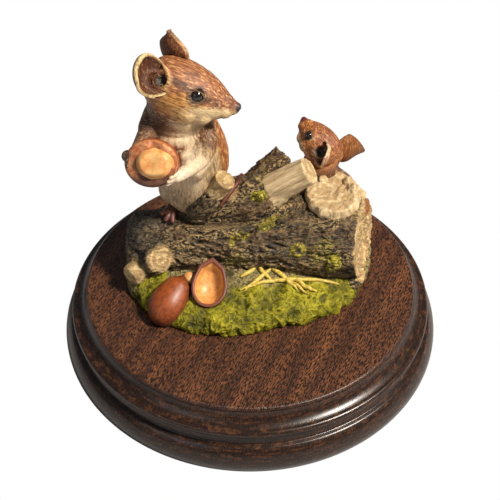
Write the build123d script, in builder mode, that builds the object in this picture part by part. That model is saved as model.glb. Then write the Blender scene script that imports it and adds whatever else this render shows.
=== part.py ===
"""Two wood mice on a fallen log: painted resin castings on a turned hardwood plinth."""

import os
from math import cos, radians, sin, sqrt

from build123d import *

os.makedirs("parts", exist_ok=True)

# Turned plinth, baize pad and the two screws that hold the group down
plinth_diameter = 130
plinth_top_diameter = 113.2
plinth_height = 24.8
foot_height = 12.4
foot_bulge = 2.4
quirk_height = 3.8
quirk_depth = 1.7
lip_height = 2.6
arris_height = 1.6
pad_diameter = 118
pad_thickness = 1.2
screw_diameter = 4
screw_length = 32
screw_head_diameter = 8
screw_spacing = 40
counterbore_depth = 8
screw_clearance = 0.25

# Moss ground and the loose grass on it
ground_height = 9.6
grass_width = 1.6
grass_thickness = 0.8

# Log, its limb and its branches
log_length = 80
log_radius = 14
log_sink = 1.2
limb_radius = 8
stump_radius = 10.2
stump_rise = 3.6
branch_radius = 4.7
branch_length = 25.5
stub_radius = 3.4
knot_radius = 4.4
peg_radius = 1.6
peg_length = 5
peg_clearance = 0.1
glue_gap = 0.05

# Mice: the adult at full size, the young one as a share of it
body_width = 25
body_height = 43
head_length = 30
ear_radius = 6.9
ear_thickness = 1.1
eye_radius = 2.1
tail_radius = 0.95
finger_radius = 0.85
toe_radius = 1.1
young_share = 0.66

# Hazelnuts
nut_length = 19.5
nut_width = 13.4
shell_thickness = 1.1
held_nut_diameter = 15.6
held_wall = 1.6

plinth_radius = plinth_diameter / 2
top_z = pad_thickness + plinth_height


def oval_loft(stations):
    """Smooth solid through ovals, each given by its plane and two half widths."""
    with BuildPart() as form:
        for plane, across, along in stations:
            with BuildSketch(plane):
                Ellipse(across, min(along, across))
        loft()
    return form.part


def tube_planes(points, side):
    """Planes square to a smooth path through the points, one at every point."""
    with BuildLine():
        line = Spline(*points)
    planes = []
    for point in points:
        way = line % line.param_at_point(point)
        across = Vector(side) - way * way.dot(Vector(side))
        planes.append(Plane(origin=point, x_dir=across, z_dir=way))
    return planes


def tube(points, radii, side=(0.3, 0.9, 0.31)):
    """Round tapering limb along a smooth path."""
    planes = tube_planes(points, side)
    return oval_loft([(plane, r, r) for plane, r in zip(planes, radii)])


def ball(center, plane, half_sizes):
    """Egg-like lump with three half sizes along the axes of a plane."""
    seat = Plane(origin=center, x_dir=plane.x_dir, z_dir=plane.z_dir)
    with BuildPart() as lump:
        Sphere(1)
        scale(by=half_sizes)
    return seat.location * lump.part


def peg(seat, play):
    """Round peg that reaches equally to both sides of a joint, or its socket."""
    with BuildPart() as pin:
        with Locations(seat.location):
            Cylinder(peg_radius + play, (peg_length + play) * 2)
    return pin.part


# Plinth: turned profile with arris, cove, lip, quirk and torus foot
foot_radius = plinth_radius - foot_bulge
foot_top = pad_thickness + foot_height
lip_low = foot_top + quirk_height
lip_top = lip_low + lip_height
lip_radius = plinth_radius - quirk_depth
quirk_radius = lip_radius - quirk_depth * 0.8
arris_radius = plinth_top_diameter / 2
arris_low = top_z - arris_height
cove_radius = lip_radius - lip_height * 0.7
with BuildPart() as plinth:
    with BuildSketch(Plane.XZ):
        with BuildLine():
            Line((0, pad_thickness), (foot_radius, pad_thickness))
            ThreePointArc(
                (foot_radius, pad_thickness),
                (plinth_radius, pad_thickness + foot_height / 2),
                (foot_radius, foot_top),
            )
            Line((foot_radius, foot_top), (quirk_radius, foot_top))
            Line((quirk_radius, foot_top), (quirk_radius, lip_low))
            Line((quirk_radius, lip_low), (lip_radius - lip_height * 0.2, lip_low))
            ThreePointArc(
                (lip_radius - lip_height * 0.2, lip_low),
                (lip_radius, lip_low + lip_height * 0.45),
                (cove_radius, lip_top),
            )
            ThreePointArc(
                (cove_radius, lip_top),
                (
                    cove_radius * 0.35 + arris_radius * 0.65,
                    lip_top * 0.62 + arris_low * 0.38,
                ),
                (arris_radius, arris_low),
            )
            Line((arris_radius, arris_low), (arris_radius, top_z))
            Line((arris_radius, top_z), (0, top_z))
            Line((0, top_z), (0, pad_thickness))
        make_face()
    revolve(axis=Axis.Z)
    with Locations(Location((0, 0, pad_thickness), (180, 0, 0))):
        with GridLocations(screw_spacing, 1, 2, 1):
            with Locations((0, -log_radius * 0.6)):
                CounterBoreHole(
                    screw_diameter / 2 + screw_clearance,
                    screw_head_diameter / 2 + screw_clearance,
                    counterbore_depth,
                )
plinth.part.label = "plinth"

# Baize pad glued flat under the plinth
with BuildPart() as baize_pad:
    Cylinder(
        pad_diameter / 2, pad_thickness, align=(Align.CENTER, Align.CENTER, Align.MIN)
    )
baize_pad.part.label = "baize_pad"

# Log: trunk with its upper limb, cut off at a slant and dished at the right end
trunk_stations = [
    (-0.52, 8.4, 0.70),
    (-0.30, 8.7, 0.81),
    (-0.08, 9.3, 0.94),
    (0.14, 8.8, 1.0),
    (0.36, 7.4, 1.0),
    (0.58, 5.8, 0.96),
]


def trunk_spot(x):
    """Centre and radius of the trunk where it crosses x."""
    share = x / log_length
    last = len(trunk_stations) - 2
    index = 0
    while index < last and trunk_stations[index + 1][0] < share:
        index += 1
    here, there = trunk_stations[index], trunk_stations[index + 1]
    part_way = (share - here[0]) / (there[0] - here[0])
    radius = log_radius * (here[2] + (there[2] - here[2]) * part_way)
    y = here[1] + (there[1] - here[1]) * part_way
    return Vector(x, y, top_z + log_sink + radius), radius


def on_trunk(x, angle, lift):
    """Point over the bark: angle 0 at the back, 90 on top, 180 in front."""
    center, radius = trunk_spot(x)
    reach = radius + lift
    return center + Vector(0, cos(radians(angle)) * reach, sin(radians(angle)) * reach)


crest = top_z + log_sink + log_radius * 2
end_plane = Plane(
    origin=trunk_spot(log_length * 0.485)[0], x_dir=(0.26, 0.966, 0), z_dir=(0.95, -0.25, 0.12)
)
limb_points = [
    Vector(-log_length * 0.43, 10.5, crest - 15),
    Vector(-log_length * 0.27, 11.2, crest - 11.2),
    Vector(-log_length * 0.15, 11, crest - 6.6),
    Vector(-log_length * 0.035, 10.4, crest - 0.6),
    Vector(log_length * 0.05, 9.6, crest + 2.2),
    Vector(log_length * 0.1, 9.3, crest + 4.2),
]
limb_radii = [limb_radius * share for share in (0.55, 0.88, 0.98, 1.0, 0.92, 0.7)]
with BuildPart() as log_form:
    for share, y, thick in trunk_stations:
        spot, radius = trunk_spot(share * log_length)
        with BuildSketch(Plane(origin=spot, x_dir=(0, 1, 0), z_dir=(1, 0, 0))):
            Circle(radius)
    loft()
    fillet(log_form.faces().sort_by(Axis.X)[0].edges(), log_radius * 0.36)
    add(tube(limb_points, limb_radii))
    split(bisect_by=end_plane, keep=Keep.BOTTOM)
    dish = log_radius * 1.4
    with Locations(end_plane.offset(dish * 0.87).location):
        Sphere(dish, mode=Mode.SUBTRACT)

# Stump, branch and stubs: each is fitted to the bark and pegged into it
stump_foot = on_trunk(log_length * 0.35, 90, -4)
stump_top = on_trunk(log_length * 0.36, 76, stump_rise)
stump_joint = Plane(origin=(stump_foot.X, stump_top.Y, stump_top.Z - peg_length - 1))
with BuildPart() as cut_stump:
    for rise, width in ((0, 1.1), (4, 1.04), (stump_top.Z - stump_foot.Z, 1.0)):
        with BuildSketch(Plane(origin=(stump_foot.X, stump_top.Y, stump_foot.Z + rise))):
            Ellipse(stump_radius * width * 0.87, stump_radius * width)
    loft()
    add(log_form.part, mode=Mode.SUBTRACT)
    add(peg(stump_joint, 0))

branch_way = Vector(0.8, -0.04, 0.59)
branch_plane = Plane(
    origin=limb_points[3] + Vector(2, -0.6, 0), x_dir=(0, 1, 0.068), z_dir=branch_way
)
branch_joint = branch_plane.offset(limb_radius)
with BuildPart() as bare_branch:
    for reach, width in ((0, 1.15), (0.35, 1.1), (0.7, 1.02), (1, 0.97)):
        with BuildSketch(branch_plane.offset(branch_length * reach)):
            Circle(branch_radius * width)
    loft()
    add(log_form.part, mode=Mode.SUBTRACT)
    add(peg(branch_joint, 0))

stub_plane = Plane(
    origin=limb_points[3] + Vector(1.5, 1.8, 2), x_dir=(0.62, 0, -0.68), z_dir=(0.68, 0.42, 0.6)
)
stub_joint = stub_plane.offset(limb_radius * 0.8)
with BuildPart() as bark_stub:
    for reach, width in ((0, 1.35), (7, 1.15), (12, 1.0), (18, 0.95)):
        with BuildSketch(stub_plane.offset(reach)):
            Circle(stub_radius * width)
    loft()
    add(log_form.part, mode=Mode.SUBTRACT)
    add(bare_branch.part, mode=Mode.SUBTRACT)
    add(peg(stub_joint, 0))

perch_plane = Plane(
    origin=limb_points[2] + Vector(-6, -3, 2.6), x_dir=(0.86, 0, -0.5), z_dir=(0.5, -0.1, 0.86)
)
perch_joint = perch_plane.offset(3.5)
with BuildPart() as perch_stub:
    for reach, width in ((0, 1.2), (5, 1.42), (9.5, 1.25), (12.5, 1.1), (20, 1.08)):
        with BuildSketch(perch_plane.offset(reach)):
            Circle(stub_radius * width)
    loft()
    add(log_form.part, mode=Mode.SUBTRACT)
    add(peg(perch_joint, 0))

knot_plane = Plane(
    origin=on_trunk(-log_length * 0.41, 180, -4), x_dir=(0, 0.426, 0.905), z_dir=(0.35, -0.85, 0.4)
)
with BuildPart() as knot_stub:
    for reach, width in ((0, 1.15), (4, 1.15), (6.5, 0.95)):
        with BuildSketch(knot_plane.offset(reach)):
            Circle(knot_radius * width)
    loft()
    add(log_form.part, mode=Mode.SUBTRACT)

snag_plane = Plane(
    origin=on_trunk(-log_length * 0.42, 210, -3.5),
    x_dir=(0, -0.18, 0.98),
    z_dir=(-0.72, -0.68, -0.12),
)
with BuildPart() as broken_stub:
    for reach, width in ((0, 1.0), (5, 0.95), (10, 0.8)):
        with BuildSketch(snag_plane.offset(reach)):
            Circle(knot_radius * width)
    loft()
    add(log_form.part, mode=Mode.SUBTRACT)
    add(knot_stub.part, mode=Mode.SUBTRACT)

# Moss ground: low mound with rounded edges, cradling the log
ground_outline = [
    (-43, 2),
    (-39, -9),
    (-29, -19.5),
    (-9, -25),
    (8, -22),
    (26, -16.3),
    (36.5, -7),
    (41.5, 8),
    (41, 24),
    (31, 38),
    (10, 36),
    (-16, 34),
    (-36, 25),
]
ground_levels = [(0, 0.985), (0.24, 1.0), (0.45, 0.95), (0.66, 0.82), (0.9, 0.5), (1, 0.22)]


def mound(extra):
    """Mound over the ground outline, raised a little for what lies on it."""
    with BuildPart() as heap:
        for rise, share in ground_levels:
            grow = share + extra * 0.02
            with BuildSketch(Plane.XY.offset(top_z + rise * (ground_height + extra))):
                with BuildLine():
                    Spline(*[(x * grow, y * grow) for x, y in ground_outline], periodic=True)
                make_face()
        loft()
    return heap.part


ground_form = mound(0)


# Hazelnut shells: halves of a pointed nut on the moss and an open nut in the paws
def nut_half(seat, size, insets):
    """Half of a nut shell, its tip along x and its opening along z."""
    length = nut_length * size
    width = nut_width * size
    with BuildPart() as shell:
        for inset in insets:
            low = -length * 0.46 + inset
            high = length * 0.54 - inset * 1.6
            wide = width / 2 - inset
            with BuildSketch(Plane.XY):
                with BuildLine():
                    Spline(
                        (low, 0),
                        (low * 0.72, wide * 0.74),
                        (-length * 0.06, wide),
                        (high * 0.62, wide * 0.7),
                        (high, 0),
                        tangents=[(0, 1), (0.8, -1)],
                    )
                    Line((high, 0), (low, 0))
                make_face()
            revolve(
                axis=Axis.X,
                revolution_arc=-180,
                mode=Mode.SUBTRACT if inset else Mode.ADD,
            )
    return seat.location * shell.part


domed_seat = Plane(origin=(-26.9, -14, top_z + 5), x_dir=(0.5, 0.7, 0.5), z_dir=(0.3, 0.42, -0.86))
open_seat = Plane(origin=(-13.6, -12, top_z + 11.6), x_dir=(0.12, 0.86, 0.5), z_dir=(-0.02, -0.5, 0.86))
domed_form = nut_half(domed_seat, 1, (0, shell_thickness))
open_form = nut_half(open_seat, 0.9, (0, shell_thickness))
open_bed = nut_half(open_seat, 0.9, (0,))
with BuildPart() as nut_shell_domed:
    add(domed_form)
    add(ground_form, mode=Mode.SUBTRACT)
    add(plinth.part, mode=Mode.SUBTRACT)

# Adult mouse: sits up on the crest of the log with its head turned to its left
adult_seat = Vector(-18.4, 18.5, crest - 8.6)
facing = Vector(-0.5, -0.866, 0)
sideways = Vector(0.866, -0.5, 0)
tall = body_height / 43
spine = [
    adult_seat,
    adult_seat + Vector(-0.2, -0.5, 2.6) * tall,
    adult_seat + Vector(-0.5, -1.4, 8) * tall,
    adult_seat + Vector(-1.6, -3.2, 18) * tall,
    adult_seat + Vector(-4, -5.6, 31) * tall,
    adult_seat + Vector(-4.8, -6.4, 38) * tall,
    adult_seat + Vector(-4.6, -6.6, 43.5) * tall,
]
girth = [0.16, 0.34, 0.45, 0.47, 0.44, 0.41, 0.39]
with BuildPart() as adult_form:
    planes = tube_planes(spine, sideways)
    add(oval_loft([(p, body_width * g, body_width * g * 0.92) for p, g in zip(planes, girth)]))
    hip_plane = Plane(origin=(0, 0, 0), x_dir=sideways, z_dir=(0, 0, 1))
    for side in (-1, 1):
        hip = adult_seat + sideways * side * body_width * 0.22 + facing * 3
        add(ball(hip + Vector(0, 0, 9), hip_plane, (6, 8, 7.8)))


def head_form(seat, size, muzzle):
    """Wedge-shaped mouse head along the z direction of its seat."""
    outline = [
        (-10.6, 1.8, 1.7, 0),
        (-9.5, 5, 4.9, 0),
        (-6.4, 8.2, 8.1, 0),
        (0, 9.6, 9.5, 0),
        (5.5, 9.0, 8.9, -0.1),
        (10.5, 7.6, 7.5, -0.3),
        (14.5, 5.5, 5.4, -0.4),
        (18, 3.2, 3.1, -0.2),
        (20.2, 1.8, 1.7, 0.1),
        (21, 0.8, 0.7, 0.2),
    ]
    with BuildPart() as skull:
        for reach, wide, high, lift in outline:
            length = reach * muzzle if reach > 0 else reach
            with BuildSketch(seat.offset(length * size)):
                with Locations((0, lift * size)):
                    Ellipse(wide * size, high * size)
        loft()
    return skull.part


def ear_form(seat, size):
    """Thin cupped ear that opens along the z direction of its seat."""
    radius = ear_radius * size
    bowl = radius * 1.35
    wall = ear_thickness * sqrt(size)
    with BuildPart() as cup:
        with Locations((0, 0, bowl)):
            Sphere(bowl)
            Sphere(bowl - wall, mode=Mode.SUBTRACT)
        with BuildSketch():
            Ellipse(radius * 1.08, radius * 0.92)
        extrude(amount=bowl, mode=Mode.INTERSECT)
    return seat.location * cup.part


def ear_seat(seat, size, side, out, high, back, turn):
    """Where an ear grows from the head and which way it opens."""
    root = seat.location * Location((side * out * size, high * size, -back * size))
    opening = seat.x_dir * side * turn[0] + seat.y_dir * turn[1] + seat.z_dir * turn[2]
    upright = seat.x_dir * side * 0.3 + seat.y_dir * 0.65 - seat.z_dir * 0.7
    length = upright - opening * upright.dot(opening) * (1 / opening.dot(opening))
    cup = Plane(origin=root.position, x_dir=length, z_dir=opening)
    return cup.offset(-ear_radius * 0.35 * size)


def eye_pair(seat, size, muzzle, play):
    """Two bead eyes on the sides of a head, or their sockets."""
    with BuildPart() as beads:
        for side in (-1, 1):
            spot = (side * 5.7 * size, 4.5 * size, 7.1 * size * muzzle)
            with Locations(seat.location * Location(spot, (0, 90, 0))):
                Sphere(eye_radius * size + play)
    return beads.part


head_size = head_length / 30
adult_skull = adult_seat + Vector(-4.6, -7.6, 56.1) * tall
adult_head_plane = Plane(
    origin=adult_skull, x_dir=(0.225, 0.974, 0), z_dir=(0.936, -0.216, -0.28)
)
adult_head_form = head_form(adult_head_plane, head_size, 1)
adult_sockets = eye_pair(adult_head_plane, head_size, 1, glue_gap)
neck_joint = planes[-1]
neck_rise = adult_skull - spine[-1]
with BuildPart() as adult_neck:
    for share, wide in ((0, 1.0), (0.45, 1.04), (0.85, 0.86)):
        center = spine[-1] + neck_rise * share
        lean = neck_joint.z_dir * (1 - share) + neck_rise.normalized() * share
        with BuildSketch(Plane(origin=center, x_dir=neck_joint.x_dir, z_dir=lean)):
            Ellipse(body_width * girth[-1] * wide, body_width * girth[-1] * wide * 0.92)
    loft()

body_joint = Plane(origin=adult_seat + Vector(-2, -2, 3))
with BuildPart() as adult_body:
    add(adult_form.part)
    add(log_form.part, mode=Mode.SUBTRACT)
    add(perch_stub.part, mode=Mode.SUBTRACT)
    add(peg(body_joint, 0))
    add(peg(neck_joint, peg_clearance), mode=Mode.SUBTRACT)
with BuildPart() as adult_head:
    add(adult_head_form)
    for socket in adult_sockets.solids():
        add(socket, mode=Mode.SUBTRACT)
    add(adult_neck.part)
    add(peg(neck_joint, 0))
with BuildPart() as adult_eyes:
    add(eye_pair(adult_head_plane, head_size, 1, 0))
with BuildPart() as adult_left_ear:
    add(ear_form(ear_seat(adult_head_plane, head_size, 1, 7.2, 7.4, 5.6, (0.8, 0.1, 0.6)), head_size))
    add(adult_head.part, mode=Mode.SUBTRACT)
with BuildPart() as adult_right_ear:
    add(ear_form(ear_seat(adult_head_plane, head_size, -1, 8, 6.8, 9, (0.3, 0.65, 0.6)), head_size))
    add(adult_head.part, mode=Mode.SUBTRACT)

# Open hazelnut held against the chest, with its kernel showing
held_radius = held_nut_diameter / 2
hollow_radius = held_radius - held_wall
held_center = adult_seat + Vector(-12.3, -21.5, 36.5) * tall
held_plane = Plane(origin=held_center, x_dir=(0.98, -0.2, 0), z_dir=(-0.15, -0.8, 0.58))
with BuildPart() as held_form:
    with Locations(held_plane.location):
        Sphere(held_radius)
with BuildPart() as held_nut_shell:
    add(held_form.part)
    with Locations(held_plane.location):
        Sphere(hollow_radius, mode=Mode.SUBTRACT)
    split(bisect_by=held_plane.offset(held_radius * 0.38), keep=Keep.BOTTOM)
    add(adult_form.part, mode=Mode.SUBTRACT)
with BuildPart() as held_nut_kernel:
    with Locations(held_plane.location):
        Sphere(hollow_radius)
    split(bisect_by=held_plane.offset(held_radius * 0.62), keep=Keep.BOTTOM)

left_arm_points = [
    (2.2, -8.6, 41.6),
    (4.5, -12.8, 38.2),
    (1.9, -17.4, 33.9),
    (-2.4, -20.6, 32),
    (-5, -22.6, 31.1),
]
right_arm_points = [
    (-10.6, -7, 43.6),
    (-14.2, -12.6, 41),
    (-16.6, -17.3, 38.9),
    (-19, -20.8, 36),
]
left_palm = (0.84, -0.2, -0.5)
left_fingers = [
    [(0.93, -0.2, -0.3), (0.85, -0.47, -0.2), (0.64, -0.75, -0.14)],
    [(0.88, -0.25, -0.42), (0.77, -0.52, -0.38), (0.54, -0.79, -0.3)],
    [(0.8, -0.28, -0.53), (0.68, -0.53, -0.52), (0.48, -0.7, -0.53)],
]
right_palm = (-0.94, 0.24, 0.12)
right_fingers = [
    [(-0.9, 0.3, 0.3), (-0.93, 0.12, 0.35), (-0.93, -0.07, 0.36)],
    [(-0.97, 0.2, 0.12), (-0.98, 0.02, 0.18), (-0.97, -0.15, 0.2)],
    [(-0.98, 0.15, -0.1), (-0.98, -0.05, -0.03), (-0.96, -0.28, 0.02)],
]


def on_nut(way, lift):
    """Place over the held nut in a direction from its middle."""
    return held_center + Vector(*way).normalized() * (held_radius + lift)


def hand(palm, fingers):
    """Palm and fingers that lie round the held nut."""
    with BuildPart() as grip:
        with Locations(Location(on_nut(palm, finger_radius * 0.8), (30, 60, 0))):
            Sphere(finger_radius * 2.4)
        for ways in fingers:
            joints = [on_nut(way, finger_radius * 0.5) for way in ways]
            add(tube(joints, [finger_radius * share for share in (1.0, 0.95, 0.7)]))
    return grip.part


with BuildPart() as adult_left_arm:
    add(tube([adult_seat + Vector(*p) * tall for p in left_arm_points], (3.0, 3.5, 2.9, 2.3, 1.8)))
    add(hand(left_palm, left_fingers))
    for neighbour in (adult_form, adult_neck, held_form):
        add(neighbour.part, mode=Mode.SUBTRACT)
with BuildPart() as adult_right_arm:
    add(tube([adult_seat + Vector(*p) * tall for p in right_arm_points], (3.0, 3.4, 2.8, 1.8)))
    add(hand(right_palm, right_fingers))
    for neighbour in (adult_form, adult_neck, held_form):
        add(neighbour.part, mode=Mode.SUBTRACT)

toe_root = (-7.8, -8.5, 4.4)
right_toes = [(-11.8, -9.9, 3.6), (-10.2, -12.9, 3.2), (-7.8, -13.5, 3.0)]
right_foot_points = [(-4.1, -4.5, 4.6), (-7.1, -7, 4.4), (-9.6, -10.6, 3.4)]
with BuildPart() as adult_right_foot:
    add(tube([adult_seat + Vector(*p) for p in right_foot_points], (2.4, 2.4, 1.7)))
    for toe in right_toes:
        path = [adult_seat + Vector(*p) for p in (toe_root, toe)]
        middle = (path[0] + path[1]) / 2 + Vector(0, 0, toe_radius * 0.5)
        add(tube([path[0], middle, path[1]], [toe_radius * share for share in (1, 0.95, 0.7)]))
    for neighbour in (log_form, adult_form):
        add(neighbour.part, mode=Mode.SUBTRACT)
tail_points = [
    adult_seat + Vector(4.4, 4.5, 4),
    on_trunk(-8.5, 40, 1.0),
    on_trunk(-3.6, 52, 1.6),
    limb_points[3] + Vector(0, 4.2, 7.2),
    limb_points[3] + Vector(-1.8, -1, 7.6),
    limb_points[3] + Vector(-6.6, -6, 3.2),
]
tail_radii = [tail_radius * share for share in (1.9, 1.5, 1.3, 1.1, 1.0, 0.7)]
with BuildPart() as adult_tail:
    add(tube(tail_points, tail_radii, (0.1, 0.2, 0.97)))
    for neighbour in (log_form, adult_form, perch_stub, bark_stub):
        add(neighbour.part, mode=Mode.SUBTRACT)

# Young mouse: stands behind the log and looks up at the adult
young_seat = Vector(29.5, 30, top_z + 1)
young_spine = [
    young_seat,
    young_seat + Vector(0, 0, 2.5),
    young_seat + Vector(-0.5, -0.5, 9),
    young_seat + Vector(-2, -2.5, 19),
    young_seat + Vector(-4.6, -5.8, 29.5),
    young_seat + Vector(-5.6, -6.8, 36),
]
young_radii = [body_width * young_share * share for share in (0.24, 0.45, 0.58, 0.54, 0.42, 0.34)]
with BuildPart() as young_form:
    add(tube(young_spine, young_radii))
young_skull = young_seat + Vector(-5.5, -7, 41.3)
young_head_plane = Plane(
    origin=young_skull, x_dir=(-0.568, -0.79, 0.228), z_dir=(-0.58, 0.58, 0.57)
)
young_size = head_size * young_share
young_sockets = eye_pair(young_head_plane, young_size, 0.82, glue_gap)
young_joint = Plane(origin=young_spine[5], z_dir=young_skull - young_spine[5])
with BuildPart() as young_body:
    add(young_form.part)
    for neighbour in (log_form, cut_stump):
        add(neighbour.part, mode=Mode.SUBTRACT)
    add(ground_form, mode=Mode.SUBTRACT)
    add(peg(young_joint, peg_clearance), mode=Mode.SUBTRACT)
with BuildPart() as young_head:
    add(head_form(young_head_plane, young_size, 0.82))
    for socket in young_sockets.solids():
        add(socket, mode=Mode.SUBTRACT)
    for neighbour in (young_form, cut_stump, bare_branch):
        add(neighbour.part, mode=Mode.SUBTRACT)
    add(peg(young_joint, 0))
with BuildPart() as young_eyes:
    add(eye_pair(young_head_plane, young_size, 0.82, 0))
with BuildPart() as young_left_ear:
    add(ear_form(ear_seat(young_head_plane, young_size, 1, 8, 5.2, 5, (0.75, -0.12, 0.62)), young_size))
    add(young_head.part, mode=Mode.SUBTRACT)
with BuildPart() as young_right_ear:
    far_ear = ear_seat(young_head_plane, young_size, -1, 13.6, 3.6, 9.6, (0.2, -0.5, 0.7))
    add(ear_form(far_ear, young_size * 1.26))
    add(young_head.part, mode=Mode.SUBTRACT)
    add(young_form.part, mode=Mode.SUBTRACT)
with BuildPart() as young_left_arm:
    reach = [(-7, -7, 32), (-10.5, -10, 35), (-14, -13, 37.5), (-15.8, -15, 38.6)]
    add(tube([young_seat + Vector(*p) for p in reach], (2.6, 2.2, 1.7, 1.2)))
    for neighbour in (young_form, young_head, log_form, bare_branch, bark_stub):
        add(neighbour.part, mode=Mode.SUBTRACT)
with BuildPart() as young_right_arm:
    reach = [(1, -5, 28), (3.5, -8, 29), (4.5, -11.5, 28.5), (4.2, -14.5, 27.5)]
    add(tube([young_seat + Vector(*p) for p in reach], (2.6, 2.2, 1.7, 1.2)))
    for neighbour in (young_form, young_head, log_form, cut_stump):
        add(neighbour.part, mode=Mode.SUBTRACT)
with BuildPart() as young_tail:
    reach = [(0, 4, 6), (-3, 7.2, 5), (-12, 7, 5.4), (-20, 3.5, 6.2), (-26, 0.5, 6.6)]
    young_tail_radii = [tail_radius * share for share in (1.6, 1.4, 1.2, 1.0, 0.7)]
    add(tube([young_seat + Vector(*p) for p in reach], young_tail_radii))
    for neighbour in (young_form, log_form):
        add(neighbour.part, mode=Mode.SUBTRACT)
    add(ground_form, mode=Mode.SUBTRACT)

# Remaining pieces on the moss
with BuildPart() as nut_shell_open:
    add(open_form)
    for neighbour in (nut_shell_domed, log_form):
        add(neighbour.part, mode=Mode.SUBTRACT)
with BuildPart() as nut_crumb:
    with Locations((-20.6, -7.4, top_z + 9.6)):
        Sphere(2.2)
    for neighbour in (nut_shell_domed, nut_shell_open, log_form):
        add(neighbour.part, mode=Mode.SUBTRACT)
    add(ground_form, mode=Mode.SUBTRACT)
grass_lines = [
    [(1.8, 1), (11.3, -4.3), (19, -13.2)],
    [(-1, -10.4), (12, -7.1), (29.8, -5.6)],
    [(-1, -9.5), (2.1, -7.1), (5.5, -3.3)],
    [(-3.3, -5.2), (-0.6, -3.4), (2.1, -1.9)],
]
with BuildPart() as grass_blades:
    for start, middle, tip in grass_lines:
        along = (Vector(*tip) - Vector(*start)).normalized()
        wide = Vector(-along.Y, along.X) * (grass_width / 2)
        with BuildSketch(Plane.XY.offset(top_z)):
            Polygon(start, Vector(*middle) - wide, tip, Vector(*middle) + wide, align=None)
        extrude(amount=ground_height * 2)
    add(mound(grass_thickness), mode=Mode.INTERSECT)
    add(ground_form, mode=Mode.SUBTRACT)
    for neighbour in (log_form, nut_shell_open):
        add(neighbour.part, mode=Mode.SUBTRACT)

# Ground and log receive what is seated in them
screw_spots = [(-screw_spacing / 2, log_radius * 0.6), (screw_spacing / 2, log_radius * 0.6)]
screw_low = pad_thickness + counterbore_depth
with BuildPart() as fixing_screws:
    with Locations(*[(x, y, screw_low) for x, y in screw_spots]):
        Cylinder(screw_diameter / 2, screw_length, align=(Align.CENTER, Align.CENTER, Align.MIN))
    with Locations(*[(x, y, screw_low - 2.6) for x, y in screw_spots]):
        Cylinder(screw_head_diameter / 2, 2.6, align=(Align.CENTER, Align.CENTER, Align.MIN))
    with Locations(*[(x, y, screw_low - 2.6) for x, y in screw_spots]):
        Box(screw_head_diameter, 1.2, 2.4, mode=Mode.SUBTRACT)
with BuildPart() as moss_ground:
    add(ground_form)
    for piece in (log_form, knot_stub, broken_stub):
        add(piece.part, mode=Mode.SUBTRACT)
    add(open_bed, mode=Mode.SUBTRACT)
    with Locations(*[(x, y, top_z) for x, y in screw_spots]):
        Cylinder(screw_diameter / 2 + screw_clearance, ground_height * 2, mode=Mode.SUBTRACT)
with BuildPart() as log:
    add(log_form.part)
    for joint in (stump_joint, branch_joint, stub_joint, perch_joint, body_joint):
        add(peg(joint, peg_clearance), mode=Mode.SUBTRACT)
    with Locations(*[(x, y, screw_low) for x, y in screw_spots]):
        Cylinder(
            screw_diameter / 2 + peg_clearance / 2,
            screw_length + 1,
            align=(Align.CENTER, Align.CENTER, Align.MIN),
            mode=Mode.SUBTRACT,
        )

pieces = {
    "plinth": plinth,
    "baize_pad": baize_pad,
    "fixing_screws": fixing_screws,
    "moss_ground": moss_ground,
    "grass_blades": grass_blades,
    "log": log,
    "cut_stump": cut_stump,
    "bare_branch": bare_branch,
    "bark_stub": bark_stub,
    "perch_stub": perch_stub,
    "knot_stub": knot_stub,
    "broken_stub": broken_stub,
    "adult_body": adult_body,
    "adult_head": adult_head,
    "adult_left_ear": adult_left_ear,
    "adult_right_ear": adult_right_ear,
    "adult_eyes": adult_eyes,
    "adult_left_arm": adult_left_arm,
    "adult_right_arm": adult_right_arm,
    "adult_right_foot": adult_right_foot,
    "adult_tail": adult_tail,
    "held_nut_shell": held_nut_shell,
    "held_nut_kernel": held_nut_kernel,
    "young_body": young_body,
    "young_head": young_head,
    "young_left_ear": young_left_ear,
    "young_right_ear": young_right_ear,
    "young_eyes": young_eyes,
    "young_left_arm": young_left_arm,
    "young_right_arm": young_right_arm,
    "young_tail": young_tail,
    "nut_shell_domed": nut_shell_domed,
    "nut_shell_open": nut_shell_open,
    "nut_crumb": nut_crumb,
}
for name, piece in pieces.items():
    piece.part.label = name
    export_step(piece.part, f"parts/{name}.step")
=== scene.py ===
"""Two wood mice on a fallen log: the painted resin casting on its turned mahogany plinth."""

import math

import bmesh
import bpy
import numpy as np
from mathutils import Matrix, Vector, noise


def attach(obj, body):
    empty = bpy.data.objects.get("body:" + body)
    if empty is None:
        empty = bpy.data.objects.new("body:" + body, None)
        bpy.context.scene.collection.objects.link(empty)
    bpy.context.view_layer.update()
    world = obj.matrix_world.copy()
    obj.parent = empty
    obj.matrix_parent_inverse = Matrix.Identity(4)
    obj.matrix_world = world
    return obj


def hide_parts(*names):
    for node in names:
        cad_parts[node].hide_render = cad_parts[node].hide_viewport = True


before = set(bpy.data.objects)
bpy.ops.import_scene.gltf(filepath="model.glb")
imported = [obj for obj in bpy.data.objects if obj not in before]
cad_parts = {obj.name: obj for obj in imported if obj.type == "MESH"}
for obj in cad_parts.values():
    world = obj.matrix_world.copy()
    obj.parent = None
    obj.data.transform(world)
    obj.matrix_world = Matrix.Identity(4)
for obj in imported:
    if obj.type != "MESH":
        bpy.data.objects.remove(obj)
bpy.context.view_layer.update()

# Plinth: a mahogany disc turned on a lathe, stained dark and rubbed to a satin polish.
# The casting is screwed down through it from below.


def tone(red, green, blue):
    """Paint colour from its 0 to 255 screen values, as the linear colour a shader takes."""
    linear = []
    for value in (red, green, blue):
        share = value / 255
        linear.append(share / 12.92 if share < 0.04045 else ((share + 0.055) / 1.055) ** 2.4)
    return (*linear, 1.0)


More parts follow.
